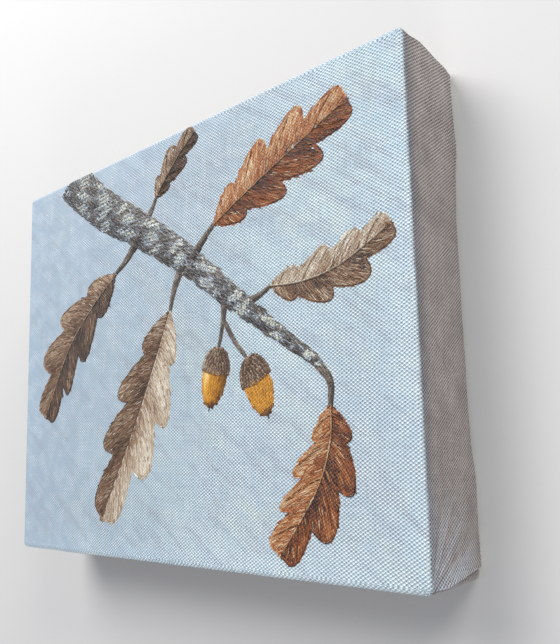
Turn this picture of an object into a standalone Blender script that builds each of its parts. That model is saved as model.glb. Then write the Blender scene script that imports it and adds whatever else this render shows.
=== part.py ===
"""Deep-edge stretched canvas, lying on its back with the painted face up.

Four mitred softwood stretcher bars carry one sheet of primed cotton, which wraps
their sides, turns over on the back and is held there by wire staples. Wooden keys
sit in slots at the inner corners. +X runs along the face's width, +Y along its
height and +Z out of the face. Units are metres.
"""

import math

import bmesh
import bpy
from mathutils import Matrix, Vector

# Outer size over the cloth, which has the depth of a 38 mm bar with its cloth and gaps.
FACE_WIDTH = 0.250
FACE_HEIGHT = 0.204
BODY_DEPTH = 0.0398

# Cloth, and the clear gap that neighbouring pieces keep.
CLOTH = 0.0006
GAP = 0.0003
EDGE_RADIUS = 0.0025
EDGE_SEGMENTS = 4
TURNOVER = 0.015

# Folded corners: two more layers on the left and right walls, and up to three
# more on the back, where the four corners carry the canvas.
FOLD_LENGTH = 0.042
FOLD_LAYERS = 2 * CLOTH
PILE_LENGTH = 0.014
PILE_LAYERS = 3 * CLOTH

# Stretcher bars, whose front slopes away from the cloth behind a narrow lip.
BAR_WIDTH = 0.020
LIP_WIDTH = 0.005
LIP_SLOPE = 0.2
BACK_CHAMFER = 0.0008

# Keys and their slots, two at each corner on two levels.
SLOT_START = 0.001
SLOT_DEPTH = 0.008
SLOT_LENGTH = 0.024
KEY_THICKNESS = 0.0026
KEY_REACH = 0.009
KEY_THIN_END = 0.003
KEY_BLUNT_END = 0.004
KEY_LEVELS = (0.0125, 0.0215)

# Staples.
CROWN = 0.0114
WIRE = 0.00075
LEG = 0.007
STAPLE_INSET = 0.0085
STAPLES_ALONG_WIDTH = 5
STAPLES_ALONG_HEIGHT = 3
STAPLE_PITCH_WIDTH = 0.042
STAPLE_PITCH_HEIGHT = 0.034
CORNER_STAPLE_INSET = 0.026

# How far a cutter reaches past what it cuts, and how close two levels are one.
CUT_PAST = 0.002
SAME = 1e-6

# Levels, from the lowest layer of the folded corners upward.
CLOTH_BACK = PILE_LAYERS
CAVITY_BACK = CLOTH_BACK + CLOTH
FACE_TOP = CLOTH_BACK + BODY_DEPTH
CAVITY_TOP = FACE_TOP - CLOTH
BAR_BACK = CAVITY_BACK + GAP
BAR_TOP = CAVITY_TOP - GAP
BAR_OUTER_X = FACE_WIDTH / 2 - CLOTH - GAP
BAR_OUTER_Y = FACE_HEIGHT / 2 - CLOTH - GAP


def clear_scene():
    """Remove every object from the scene."""
    for obj in list(bpy.data.objects):
        bpy.data.objects.remove(obj, do_unlink=True)


def make_material(name, colour, roughness, metallic=0.0):
    """Return a Principled material."""
    material = bpy.data.materials.new(name)
    material.use_nodes = True
    shader = material.node_tree.nodes["Principled BSDF"]
    shader.inputs["Base Color"].default_value = (*colour, 1.0)
    shader.inputs["Roughness"].default_value = roughness
    shader.inputs["Metallic"].default_value = metallic
    return material


def add_object(name, bm, material):
    """Turn a bmesh into a named object of the scene."""
    bmesh.ops.recalc_face_normals(bm, faces=bm.faces)
    mesh = bpy.data.meshes.new(name)
    bm.to_mesh(mesh)
    bm.free()
    obj = bpy.data.objects.new(name, mesh)
    bpy.context.scene.collection.objects.link(obj)
    if material:
        mesh.materials.append(material)
    return obj


def add_box(bm, low, high):
    """Add a box between two corners and return its vertices."""
    low, high = Vector(low), Vector(high)
    size = high - low
    place = Matrix.Translation((low + high) / 2) @ Matrix.Diagonal((*size, 1.0))
    return bmesh.ops.create_cube(bm, size=1.0, matrix=place)["verts"]


def add_prism(bm, outline, offset):
    """Add a flat outline and sweep it by an offset."""
    verts = [bm.verts.new(point) for point in outline]
    face = bm.faces.new(verts)
    swept = bmesh.ops.extrude_face_region(bm, geom=[face])
    moved = [item for item in swept["geom"] if isinstance(item, bmesh.types.BMVert)]
    bmesh.ops.translate(bm, verts=moved, vec=offset)


def round_edges(bm, chosen, radius, segments):
    """Round the edges of bm for which chosen(edge) is true."""
    edges = [edge for edge in bm.edges if chosen(edge)]
    bmesh.ops.bevel(bm, geom=edges, offset=radius, offset_type="OFFSET", segments=segments,
                    profile=0.5, affect="EDGES", material=-1)


def is_upright(edge):
    """True for an edge along Z."""
    a, b = (vert.co for vert in edge.verts)
    return abs(a.x - b.x) < SAME and abs(a.y - b.y) < SAME


def is_level(edge, level):
    """True for an edge whose two ends lie at a level."""
    return all(abs(vert.co.z - level) < SAME for vert in edge.verts)


def rounded_block(half_x, half_y, bottom, top, radius):
    """Return a block with rounded upright edges and a rounded top rim."""
    bm = bmesh.new()
    add_box(bm, (-half_x, -half_y, bottom), (half_x, half_y, top))
    round_edges(bm, lambda edge: is_upright(edge) or is_level(edge, top), radius, EDGE_SEGMENTS)
    return bm


def combine(target, tool, operation):
    """Keep a Boolean of two objects as a modifier on the first."""
    modifier = target.modifiers.new(f"{operation.lower()}_{tool.name}", "BOOLEAN")
    modifier.operation = operation
    modifier.solver = "EXACT"
    modifier.object = tool
    tool.hide_render = True
    tool.display_type = "WIRE"


def corner_signs():
    """Yield the X and Y signs of the four corners."""
    for sign_x in (-1, 1):
        for sign_y in (-1, 1):
            yield sign_x, sign_y


def staple_places():
    """Yield name, centre (x, y), crown level and turn of each staple."""
    row_x = FACE_WIDTH / 2 - STAPLE_INSET
    row_y = FACE_HEIGHT / 2 - STAPLE_INSET
    wall_level = CLOTH_BACK - GAP - WIRE
    pile_level = WIRE / 4
    for side, sign in (("bottom", -1), ("top", 1)):
        for index in range(STAPLES_ALONG_WIDTH):
            step = (index - (STAPLES_ALONG_WIDTH - 1) / 2) * STAPLE_PITCH_WIDTH
            yield f"staple_{side}_{index + 1}", (step, sign * row_y), wall_level, 0.0
    for side, sign in (("left", -1), ("right", 1)):
        for index in range(STAPLES_ALONG_HEIGHT):
            step = (index - (STAPLES_ALONG_HEIGHT - 1) / 2) * STAPLE_PITCH_HEIGHT
            yield f"staple_{side}_{index + 1}", (sign * row_x, step), wall_level, math.pi / 2
    for sign_x, sign_y in corner_signs():
        name = f"staple_corner_{'left' if sign_x < 0 else 'right'}_{'bottom' if sign_y < 0 else 'top'}"
        place_y = sign_y * (FACE_HEIGHT / 2 - CORNER_STAPLE_INSET)
        yield name, (sign_x * row_x, place_y), pile_level, math.pi / 2


def staple_outline(margin):
    """Return the U of a staple in its own XZ plane, grown by a margin."""
    half = CROWN / 2 + margin
    inner = CROWN / 2 - WIRE - margin
    tip = WIRE + LEG + margin
    points = ((-half, -margin), (half, -margin), (half, tip), (inner, tip),
              (inner, WIRE + margin), (-inner, WIRE + margin), (-inner, tip), (-half, tip))
    return [(x, 0.0, z) for x, z in points]


def add_staple(bm, centre, level, turn, margin):
    """Add one staple, or its clearance, with the crown on the cloth and legs up."""
    part = bmesh.new()
    width = WIRE + 2 * margin
    add_prism(part, staple_outline(margin), (0.0, width, 0.0))
    bmesh.ops.translate(part, verts=part.verts, vec=(0.0, -width / 2, 0.0))
    place = Matrix.Translation((centre[0], centre[1], level)) @ Matrix.Rotation(turn, 4, "Z")
    bmesh.ops.transform(part, matrix=place, verts=part.verts)
    mesh = bpy.data.meshes.new("staple_part")
    part.to_mesh(mesh)
    part.free()
    bm.from_mesh(mesh)
    bpy.data.meshes.remove(mesh)


def make_staple_clearance():
    """Return a cutter with the clearance of every staple."""
    bm = bmesh.new()
    for _name, centre, level, turn in staple_places():
        add_staple(bm, centre, level, turn, GAP)
    return add_object("clearance_staples", bm, None)


def make_bar_envelope():
    """Return the rounded block that the four bars fill up to."""
    block = rounded_block(BAR_OUTER_X, BAR_OUTER_Y, BAR_BACK - CUT_PAST, BAR_TOP,
                          EDGE_RADIUS - CLOTH - GAP)
    return add_object("envelope_bars", block, None)


def make_bar(name, half_length, place, material, cutters):
    """Make a mitred bar whose length runs along its own X and outer side faces -Y."""
    envelope, clearance = cutters
    outer_top = BAR_TOP + (LIP_WIDTH + CUT_PAST) * LIP_SLOPE
    inner_top = BAR_TOP - (BAR_WIDTH - LIP_WIDTH) * LIP_SLOPE
    bm = bmesh.new()
    add_prism(bm, [(-half_length, -CUT_PAST, BAR_BACK), (-half_length, -CUT_PAST, outer_top),
                   (-half_length, BAR_WIDTH, inner_top), (-half_length, BAR_WIDTH, BAR_BACK)],
              (2 * half_length, 0.0, 0.0))
    for vert in bm.verts:
        reach = half_length - GAP / math.sqrt(2) - vert.co.y
        vert.co.x = math.copysign(reach, vert.co.x)
    inner = [edge for edge in bm.edges if all(v.co.y > BAR_WIDTH - SAME for v in edge.verts)]
    round_edges(bm, lambda edge: edge in inner and is_level(edge, BAR_BACK), BACK_CHAMFER, 2)
    bmesh.ops.transform(bm, matrix=place, verts=bm.verts)
    bar = add_object(name, bm, material)
    combine(bar, envelope, "INTERSECT")
    combine(bar, make_key_slots(f"slots_{name}", half_length, place), "DIFFERENCE")
    combine(bar, clearance, "DIFFERENCE")


def key_ends(half_length):
    """Yield the end sign and the level of each key of a bar."""
    level = KEY_LEVELS[0] if half_length > FACE_HEIGHT / 2 else KEY_LEVELS[1]
    for sign in (-1, 1):
        yield sign, level


def make_key_slots(name, half_length, place):
    """Return a cutter for the two key slots in a bar's inner side."""
    bm = bmesh.new()
    corner = half_length - BAR_WIDTH
    half = KEY_THICKNESS / 2 + GAP
    for sign, level in key_ends(half_length):
        near = sign * (corner - SLOT_START)
        far = sign * (corner - SLOT_START - SLOT_LENGTH)
        add_box(bm, (min(near, far), BAR_WIDTH - SLOT_DEPTH, BAR_BACK + level - half),
                (max(near, far), BAR_WIDTH + CUT_PAST, BAR_BACK + level + half))
    bmesh.ops.transform(bm, matrix=place, verts=bm.verts)
    return add_object(name, bm, None)


def make_keys(bar_name, half_length, place, material):
    """Make the tapered keys that sit in a bar's two slots."""
    corner = half_length - BAR_WIDTH
    floor = BAR_WIDTH - SLOT_DEPTH + GAP
    for number, (sign, level) in enumerate(key_ends(half_length), start=1):
        bm = bmesh.new()
        near = corner - SLOT_START - 2 * GAP
        far = near - SLOT_LENGTH + 4 * GAP
        bottom = BAR_BACK + level - KEY_THICKNESS / 2
        outline = [(sign * near, floor, bottom), (sign * far, floor, bottom),
                   (sign * far, floor + KEY_THIN_END, bottom),
                   (sign * (near - KEY_BLUNT_END), BAR_WIDTH + KEY_REACH, bottom),
                   (sign * near, BAR_WIDTH + KEY_REACH, bottom)]
        add_prism(bm, outline, (0.0, 0.0, KEY_THICKNESS))
        bmesh.ops.transform(bm, matrix=place, verts=bm.verts)
        add_object(f"key_{bar_name}_{number}", bm, material)


def make_frame(wood, key_wood, clearance):
    """Make the four bars with their keys."""
    cutters = (make_bar_envelope(), clearance)
    sides = (("bottom", BAR_OUTER_X, BAR_OUTER_Y, 0.0), ("right", BAR_OUTER_Y, BAR_OUTER_X, 0.5),
             ("top", BAR_OUTER_X, BAR_OUTER_Y, 1.0), ("left", BAR_OUTER_Y, BAR_OUTER_X, 1.5))
    for side, half_length, distance, half_turns in sides:
        turn = Matrix.Rotation(half_turns * math.pi, 4, "Z")
        place = turn @ Matrix.Translation((0.0, -distance, 0.0))
        make_bar(f"bar_{side}", half_length, place, wood, cutters)
        make_keys(side, half_length, place, key_wood)


def make_folds():
    """Return the extra layers of the four folded corners."""
    bm = bmesh.new()
    wall_x = FACE_WIDTH / 2
    wall_y = FACE_HEIGHT / 2
    strip_level = CLOTH_BACK - FOLD_LAYERS
    for sign_x, sign_y in corner_signs():
        inner_x = sign_x * (wall_x - TURNOVER - CUT_PAST)
        outer_x = sign_x * (wall_x + FOLD_LAYERS)
        near_y = sign_y * (wall_y - EDGE_RADIUS)
        far_y = sign_y * (wall_y - FOLD_LENGTH)
        add_prism(bm, [(inner_x, near_y, strip_level), (outer_x, near_y, strip_level),
                       (outer_x, far_y, strip_level), (inner_x, far_y, strip_level)],
                  (0.0, 0.0, FOLD_LAYERS + CLOTH / 2))
    return add_object("tool_strips", bm, None)


def make_piles():
    """Return the square of one more layer that the canvas rests on, at each corner."""
    bm = bmesh.new()
    wall_x = FACE_WIDTH / 2
    wall_y = FACE_HEIGHT / 2
    for sign_x, sign_y in corner_signs():
        xs = sorted((sign_x * (wall_x - TURNOVER - CUT_PAST), sign_x * (wall_x - EDGE_RADIUS)))
        ys = sorted((sign_y * (wall_y - PILE_LENGTH), sign_y * (wall_y - EDGE_RADIUS)))
        add_box(bm, (xs[0], ys[0], 0.0), (xs[1], ys[1], CLOTH_BACK + CLOTH / 2))
    return add_object("tool_piles", bm, None)


def make_wall_folds():
    """Return the triangular double layers that lie on the left and right walls."""
    bm = bmesh.new()
    start = FACE_TOP - EDGE_RADIUS
    bottom = CLOTH_BACK - FOLD_LAYERS + CLOTH / 4
    for sign_x, sign_y in corner_signs():
        base_x = sign_x * (FACE_WIDTH / 2 - CLOTH / 2)
        near_y = sign_y * (FACE_HEIGHT / 2 - EDGE_RADIUS)
        far_y = sign_y * (FACE_HEIGHT / 2 - FOLD_LENGTH + CLOTH)
        outline = [(base_x, near_y, start), (base_x, near_y, bottom), (base_x, far_y, bottom)]
        add_prism(bm, outline, (sign_x * (FOLD_LAYERS + CLOTH / 2), 0.0, 0.0))
    return add_object("tool_wall_folds", bm, None)


def make_cloth(material, clearance):
    """Make the sheet as one closed skin: face, walls, turnover and folded corners."""
    outer = rounded_block(FACE_WIDTH / 2, FACE_HEIGHT / 2, CLOTH_BACK, FACE_TOP, EDGE_RADIUS)
    cloth = add_object("canvas", outer, material)
    for tool in (make_folds(), make_piles(), make_wall_folds()):
        combine(cloth, tool, "UNION")
    cavity = rounded_block(FACE_WIDTH / 2 - CLOTH, FACE_HEIGHT / 2 - CLOTH, CAVITY_BACK, CAVITY_TOP,
                           EDGE_RADIUS - CLOTH)
    combine(cloth, add_object("cutter_cavity", cavity, None), "DIFFERENCE")
    opening = bmesh.new()
    add_box(opening, (TURNOVER - FACE_WIDTH / 2, TURNOVER - FACE_HEIGHT / 2, -CUT_PAST),
            (FACE_WIDTH / 2 - TURNOVER, FACE_HEIGHT / 2 - TURNOVER, CAVITY_BACK + CUT_PAST))
    combine(cloth, add_object("cutter_opening", opening, None), "DIFFERENCE")
    combine(cloth, clearance, "DIFFERENCE")


def make_staples(material):
    """Make every staple as its own object."""
    for name, centre, level, turn in staple_places():
        bm = bmesh.new()
        add_staple(bm, centre, level, turn, 0.0)
        add_object(name, bm, material)


def main():
    """Build the stretched canvas."""
    clear_scene()
    cloth = make_material("primed_cotton", (0.52, 0.55, 0.60), 0.75)
    wood = make_material("planed_pine", (0.62, 0.44, 0.25), 0.6)
    key_wood = make_material("beech_key", (0.55, 0.36, 0.20), 0.6)
    steel = make_material("galvanised_wire", (0.60, 0.60, 0.61), 0.35, 1.0)
    clearance = make_staple_clearance()
    make_frame(wood, key_wood, clearance)
    make_cloth(cloth, clearance)
    make_staples(steel)


main()
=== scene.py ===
"""Looks of the deep-edge stretched canvas painting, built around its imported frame.

One sheet of primed cotton is wrapped round the four stretcher bars, with a folded
corner at each end of the left and right walls, and painted in oils with an oak twig.
Everything is in metres: +X along the face's width, +Y along its height, +Z out of it.
"""

import logging
import math
from collections.abc import Callable
from dataclasses import dataclass, field
from enum import Enum, auto
from functools import partial

import bmesh
import bpy
import numpy as np
from mathutils import Matrix, Vector


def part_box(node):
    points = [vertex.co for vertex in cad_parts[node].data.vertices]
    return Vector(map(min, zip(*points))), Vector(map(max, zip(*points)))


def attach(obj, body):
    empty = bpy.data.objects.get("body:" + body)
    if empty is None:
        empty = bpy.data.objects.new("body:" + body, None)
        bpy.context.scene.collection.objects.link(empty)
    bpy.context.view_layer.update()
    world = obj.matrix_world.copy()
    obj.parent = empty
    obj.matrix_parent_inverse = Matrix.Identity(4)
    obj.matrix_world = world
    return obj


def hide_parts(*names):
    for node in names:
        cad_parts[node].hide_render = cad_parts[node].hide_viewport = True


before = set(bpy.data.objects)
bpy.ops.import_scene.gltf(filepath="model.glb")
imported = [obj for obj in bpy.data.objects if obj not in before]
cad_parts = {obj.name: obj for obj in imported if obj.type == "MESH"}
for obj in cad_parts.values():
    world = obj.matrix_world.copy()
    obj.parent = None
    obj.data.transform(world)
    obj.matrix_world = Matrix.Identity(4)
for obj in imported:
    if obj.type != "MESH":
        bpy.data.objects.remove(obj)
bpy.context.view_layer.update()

LOG = logging.getLogger("stretched_canvas")
MM = 0.001

# How far the cloth's outside stands off the bars: its thickness and a clear gap.
CLOTH_OVER_BAR = 0.9 * MM
FACE_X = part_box("bar_right")[1].x + CLOTH_OVER_BAR
FACE_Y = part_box("bar_top")[1].y + CLOTH_OVER_BAR
FACE_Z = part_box("bar_top")[1].z + CLOTH_OVER_BAR
BACK_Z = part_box("bar_top")[0].z - CLOTH_OVER_BAR
FACE_RADIUS = 2.4 * MM
# Where the painted light comes from, as an angle on the face.
PAINTED_LIGHT = math.radians(115)

Node = bpy.types.Node
Socket = bpy.types.NodeSocket
Source = Node | Socket
Adder = Callable[..., Node]
Verts = list[bmesh.types.BMVert]
Layer = bmesh.types.BMLayerItem


def linear(code: str) -> tuple[float, float, float, float]:
    """Turn an sRGB hex colour into linear light.

    Args:
        code: Six hex digits, such as "8a8583".

    Returns:
        Red, green, blue and an alpha of 1.
    """
    values = [int(code[place:place + 2], 16) / 255 for place in (0, 2, 4)]
    light = [v / 12.92 if v <= 0.04045 else ((v + 0.055) / 1.055) ** 2.4 for v in values]
    return (*light, 1.0)


def smooth_step(low: float, high: float, value: float) -> float:
    """Return a share that rises smoothly from 0 at low to 1 at high."""
    share = min(max((value - low) / (high - low), 0.0), 1.0)
    return share * share * (3 - 2 * share)


def blend(low: float, high: float, share: float) -> float:
    """Return the value a share of the way from low to high."""
    return low + (high - low) * share


def add_node(tree: bpy.types.NodeTree, kind: str, inputs: tuple | dict = (), **settings: object) -> Node:
    """Add a node, set its properties, and fill or link its inputs.

    Args:
        tree: The material's node tree.
        kind: The node's type.
        inputs: The inputs in order, or by name or number. Each is a value, a socket,
            or a node, whose first output in use is taken.
        **settings: The node's own properties.

    Returns:
        The new node.
    """
    node = tree.nodes.new("ShaderNode" + kind)
    for name, value in settings.items():
        setattr(node, name, value)
    fill_inputs(tree, node, inputs if isinstance(inputs, dict) else dict(enumerate(inputs)))
    return node


def fill_inputs(tree: bpy.types.NodeTree, node: Node, inputs: dict) -> None:
    """Set or link a node's inputs.

    Args:
        tree: The material's node tree.
        node: The node.
        inputs: A value, socket or node for each, by name or number.
    """
    for name, value in inputs.items():
        if isinstance(value, Node):
            value = next(socket for socket in value.outputs if socket.enabled)
        if isinstance(value, Socket):
            tree.links.new(value, node.inputs[name])
        else:
            node.inputs[name].default_value = value


def add_object(name: str, data: bpy.types.ID) -> bpy.types.Object:
    """Put a mesh, camera or light into the scene.

    Args:
        name: The object's name.
        data: What it shows.

    Returns:
        The object.
    """
    made = bpy.data.objects.new(name, data)
    bpy.context.scene.collection.objects.link(made)
    return made


# --------------------------------------------------------------------------
# Finishes
# --------------------------------------------------------------------------


@dataclass(frozen=True)
class Finish:
    """A material made of nodes on one Principled shader."""

    name: str

    def make(self) -> bpy.types.Material:
        """Build the material, with its shader fed by dress().

        Returns:
            The material.
        """
        material = bpy.data.materials.new(self.name)
        material.use_nodes = True
        tree = material.node_tree
        fill_inputs(tree, tree.nodes["Principled BSDF"], self.dress(partial(add_node, tree)))
        return material

    def dress(self, add: Adder) -> dict[str, object]:
        """Return what feeds each of the shader's sockets. Each finish has its own way."""
        raise NotImplementedError


@dataclass(frozen=True)
class Weave:
    """Plain-weave cotton duck: one thread over, one under, both ways.

    The threads are the cloth's own size. Their hollows are drawn deeper than they
    are, as they would not show otherwise.
    """

    pitch_x: float = 1.0 * MM
    pitch_y: float = 0.716 * MM
    skew: float = math.radians(2.6)
    waver: float = 0.5 * MM
    lean: float = 0.13
    slub_length: float = 18.0 * MM
    slub: float = 0.15
    crossing: float = 0.40

    def height(self, add: Adder, place: Source) -> Node:
        """Add the nodes for the cloth's surface, from 0 in a hole to 1 on a thread.

        Args:
            add: Adds a node to the material.
            place: Where on the flat cloth, in metres.

        Returns:
            The height, greatest where an upright thread crosses over.
        """
        drift = add("TexNoise", {"Vector": place, "Scale": 140.0, "Detail": 1.0})
        shift = add("VectorMath", (drift.outputs["Color"], (0.5, 0.5, 0.5)), operation="SUBTRACT")
        moved = add("VectorMath", (shift, (self.waver, self.waver, 0.0), place), operation="MULTIPLY_ADD")
        turned = add("VectorRotate", {"Vector": moved, "Angle": self.skew}, rotation_type="Z_AXIS")
        per_thread = (math.pi / self.pitch_x, math.pi / self.pitch_y, 0.0)
        scaled = add("VectorMath", (turned, per_thread), operation="MULTIPLY")
        parts = add("SeparateXYZ", (scaled,)).outputs[:2]
        waves = [add("Math", (part,), operation="SINE") for part in parts]
        swings = [add("Math", (part,), operation="COSINE") for part in parts]
        cross, twist = (add("Math", pair, operation="MULTIPLY") for pair in (tuple(waves), tuple(swings)))
        round_x, round_y = (add("Math", (wave,), operation="ABSOLUTE") for wave in waves)
        upright = add("Math", (round_x, cross), operation="ADD")
        level = add("Math", (round_y, cross), operation="SUBTRACT")
        top = add("Math", (upright, level), operation="MAXIMUM")
        slant = add("Math", (twist, self.lean, cross), operation="MULTIPLY_ADD")
        base = add("Math", (top, 0.05, 0.28), operation="MULTIPLY_ADD")
        for along in ((1 / self.pitch_x, 1 / self.slub_length), (1 / self.slub_length, 1 / self.pitch_y)):
            long = add("VectorMath", (turned, (*along, 0.0)), operation="MULTIPLY")
            slub = add("TexNoise", {"Vector": long, "Scale": 1.0, "Detail": 1.0}, noise_dimensions="2D")
            base = add("Math", (slub, self.slub, base), operation="MULTIPLY_ADD")
        whole = add("Math", (slant, self.crossing, base), operation="MULTIPLY_ADD")
        return add("MapRange", (whole, 0.12, 0.94))


@dataclass(frozen=True)
class PaintedCotton(Finish):
    """Primed cotton duck under thin oil paint: matt cloth with satin thread tops.

    The face has a pale blue ground, brushed on the slant. The walls are a warm
    grey, and the part that turns over on the back is bare white primer.
    """

    weave: Weave = field(default_factory=Weave)
    ground_light: str = "b5d4dd"
    ground_dark: str = "a1c3d5"
    ground_lilac: str = "abbfce"
    ground_chalk: str = "c1d1cc"
    ground_far_shade: str = "7c9cb3"
    ground_grey: str = "8ea2b6"
    wall_light: str = "aba19c"
    wall_dark: str = "948a86"
    wall_edge_shade: str = "d3d8e1"
    smear: str = "c4ccd6"
    primer: str = "dcdad2"
    wear_and_highlight: str = "f1f3f4"
    brushing: float = math.radians(38)
    edge_waver: float = 1.6 * MM
    relief: float = 0.55 * MM

    def dress(self, add: Adder) -> dict[str, object]:
        """Colour by place on the object, with the weave following the flat cloth.

        Args:
            add: Adds a node to the material.

        Returns:
            What feeds each of the shader's sockets.
        """
        flat = add("UVMap", uv_map="weave")
        place = add("TexCoord").outputs["Object"]
        height = self.weave.height(add, flat)
        parts = add("SeparateXYZ", (place,))
        waver = add("TexNoise", {"Vector": place, "Scale": 260.0, "Detail": 3.0})
        level = add("Math", (waver, self.edge_waver, parts.outputs[2]), operation="MULTIPLY_ADD")
        lapped = self.lapped_level(add, parts, level)
        over_edge = add("MapRange", (lapped, FACE_Z - 1.3 * MM, FACE_Z + 0.1 * MM))
        on_back = add("MapRange", (level, BACK_Z + 2.4 * MM, BACK_Z + 1.3 * MM))
        colour = self.brushed_wall(add, flat, place, level)
        for share, coat in ((on_back, linear(self.primer)), (over_edge, self.brushed_ground(add, place)),
                            (self.worn_threads_and_edge_highlight(add, height, place, parts), linear(self.wear_and_highlight))):
            colour = add("Mix", {0: share, 6: colour, 7: coat}, data_type="RGBA")
        cover = self.thick_paint(add, place, parts, over_edge)
        # Painted shade in the weave's hollows and the folds, with painted highlight on the thread tops.
        tone = self.painted_weave_and_fold_shade(add, height, over_edge, cover)
        strokes = add("TexNoise", {"Vector": self.slanted(add, place, 900.0, 110.0), "Scale": 1.0,
                                   "Detail": 2.0})
        thin = add("Math", (1.0, cover), operation="SUBTRACT")
        bare = add("Math", (thin, height), operation="MULTIPLY")
        relief = add("Math", (strokes, 0.3, bare), operation="MULTIPLY_ADD")
        return {"Base Color": add("VectorMath", {0: colour, "Scale": tone}, operation="SCALE"),
                "Roughness": add("MapRange", (height, 0.1, 0.9, 0.78, 0.34)),
                "Normal": add("Bump", {"Height": relief, "Distance": self.relief})}

    def lapped_level(self, add: Adder, parts: Node, level: Node) -> Node:
        """Raise the level along the top and left, where the ground is brushed further over the edge.

        Args:
            add: Adds a node to the material.
            parts: The node that splits the object coordinates.
            level: Height over the table, unevenly.

        Returns:
            The raised level.
        """
        slope = add("Math", (parts.outputs[1], parts.outputs[0]), operation="SUBTRACT")
        lap = add("MapRange", (slope, -25.0 * MM, 25.0 * MM, 0.0, 1.6 * MM))
        return add("Math", (level, lap), operation="ADD")

    def thick_paint(self, add: Adder, place: Socket, parts: Node, over_edge: Node) -> Node:
        """Add the share of the weave that the ground's paint fills, most at the far left.

        Args:
            add: Adds a node to the material.
            place: Object coordinates.
            parts: The node that splits them.
            over_edge: Share of the face's ground, 0 on the walls.

        Returns:
            The share.
        """
        uneven = add("TexNoise", {"Vector": place, "Scale": 60.0, "Detail": 3.0})
        moved = add("Math", (uneven, 70.0 * MM, parts.outputs[0]), operation="MULTIPLY_ADD")
        leant = add("Math", (parts.outputs[1], -0.3, moved), operation="MULTIPLY_ADD")
        left = add("MapRange", (leant, -50.0 * MM, 45.0 * MM, 0.90, 0.0))
        return add("Math", (left, over_edge), operation="MULTIPLY")

    def painted_weave_and_fold_shade(self, add: Adder, height: Node, over_edge: Node, cover: Node) -> Node:
        """Add the painted shade that darkens the weave's hollows and the cloth in the folds, and the painted
        highlight on the thread tops.

        Args:
            add: Adds a node to the material.
            height: The weave's height.
            over_edge: Share of the face's ground, 0 on the walls.
            cover: Share of the weave that paint fills.

        Returns:
            The factor.
        """
        # Painted shade and highlight of the weave: the colour is scaled from 0.34 in a hollow to 1.26 on a
        # thread top on the face, and from 0.06 to 1.58 on the walls.
        plump = add("Math", (height, 0.6), operation="POWER")
        face = add("MapRange", (plump, 0.0, 1.0, 0.34, 1.26))
        wall = add("MapRange", (plump, 0.0, 1.0, 0.06, 1.58))
        bare = add("Mix", {0: over_edge, 2: wall, 3: face})
        whole = add("Mix", {0: cover, 2: bare, 3: 0.96})
        # Painted shade in the folds: the colour is darkened to 0.30 of itself where the cloth lies deepest in
        # a fold.
        tucked = add("Attribute", attribute_name="tucked").outputs["Fac"]
        return add("Math", (whole, add("MapRange", (tucked, 0.0, 1.0, 1.0, 0.30))), operation="MULTIPLY")

    def slanted(self, add: Adder, place: Socket, across: float, along: float) -> Node:
        """Stretch a pattern along the slant of the brushing.

        Args:
            add: Adds a node to the material.
            place: Object coordinates.
            across: Pattern scale across the strokes, per metre.
            along: Pattern scale along them.

        Returns:
            The stretched coordinates.
        """
        turned = add("VectorRotate", {"Vector": place, "Angle": self.brushing}, rotation_type="Z_AXIS")
        return add("VectorMath", (turned, (along, across, across)), operation="MULTIPLY")

    def brushed_ground(self, add: Adder, place: Socket) -> Node:
        """Add the pale blue ground of the face, with painted shade towards the left and top, and a painted
        highlight along its edges.

        Args:
            add: Adds a node to the material.
            place: Object coordinates.

        Returns:
            The colour.
        """
        colour = linear(self.ground_dark)
        clouds = []
        # Each coat's pattern: where it lies, its scale, shift, detail and roughness. Then
        # where it starts and is full, how much it covers at most, and its colour.
        for where, scale, shift, detail, rough, start, full, most, code in (
                (self.slanted(add, place, 42.0, 14.0), 1.0, {}, 5.0, 0.60, 0.36, 0.62, 1.00,
                 self.ground_light),
                (place, 13.0, {}, 2.0, 0.50, 0.45, 0.70, 0.60, self.ground_lilac),
                (self.slanted(add, place, 58.0, 24.0), 1.0, {"W": 4.0}, 4.0, 0.65, 0.50, 0.66, 0.55,
                 self.ground_chalk),
                (self.slanted(add, place, 190.0, 34.0), 1.0, {}, 3.0, 0.60, 0.50, 0.66, 0.70,
                 self.ground_grey)):
            clouds.append(add("TexNoise", {"Vector": where, "Scale": scale, "Detail": detail,
                                           "Roughness": rough, **shift},
                              noise_dimensions="4D" if shift else "3D"))
            share = add("MapRange", (clouds[-1], start, full, 0.0, most))
            colour = add("Mix", {0: share, 6: colour, 7: linear(code)}, data_type="RGBA")
        x, y, z = add("SeparateXYZ", (place,)).outputs
        # Painted shade: the ground is darkened and blued towards the left and top, less where it turns down
        # over the rounded edge.
        away = add("Math", (clouds[1], 60.0 * MM, x), operation="MULTIPLY_ADD")
        higher = add("Math", (y, -0.35, away), operation="MULTIPLY_ADD")
        below = add("MapRange", (z, FACE_Z - 0.2 * MM, FACE_Z - 1.6 * MM, 0.0, 230.0 * MM))
        nearer = add("Math", (higher, below), operation="ADD")
        far = add("MapRange", (nearer, 110.0 * MM, -60.0 * MM), interpolation_type="SMOOTHSTEP")
        deeper = add("Mix", {0: far, 6: colour, 7: linear(self.ground_far_shade)}, data_type="RGBA",
                     blend_type="MULTIPLY")
        # Painted highlight: the ground is 13 per cent lighter within 5 mm of the face's edges, fading out by
        # 17 mm.
        level = add("VectorMath", (place,), operation="ABSOLUTE")
        room = add("VectorMath", ((FACE_X, FACE_Y, 0.0), level), operation="SUBTRACT")
        least = add("Math", tuple(add("SeparateXYZ", (room,)).outputs[:2]), operation="MINIMUM")
        edge_highlight = add("MapRange", (least, 5.0 * MM, 17.0 * MM, 1.13, 1.0))
        return add("VectorMath", {0: deeper, "Scale": edge_highlight}, operation="SCALE")

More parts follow.
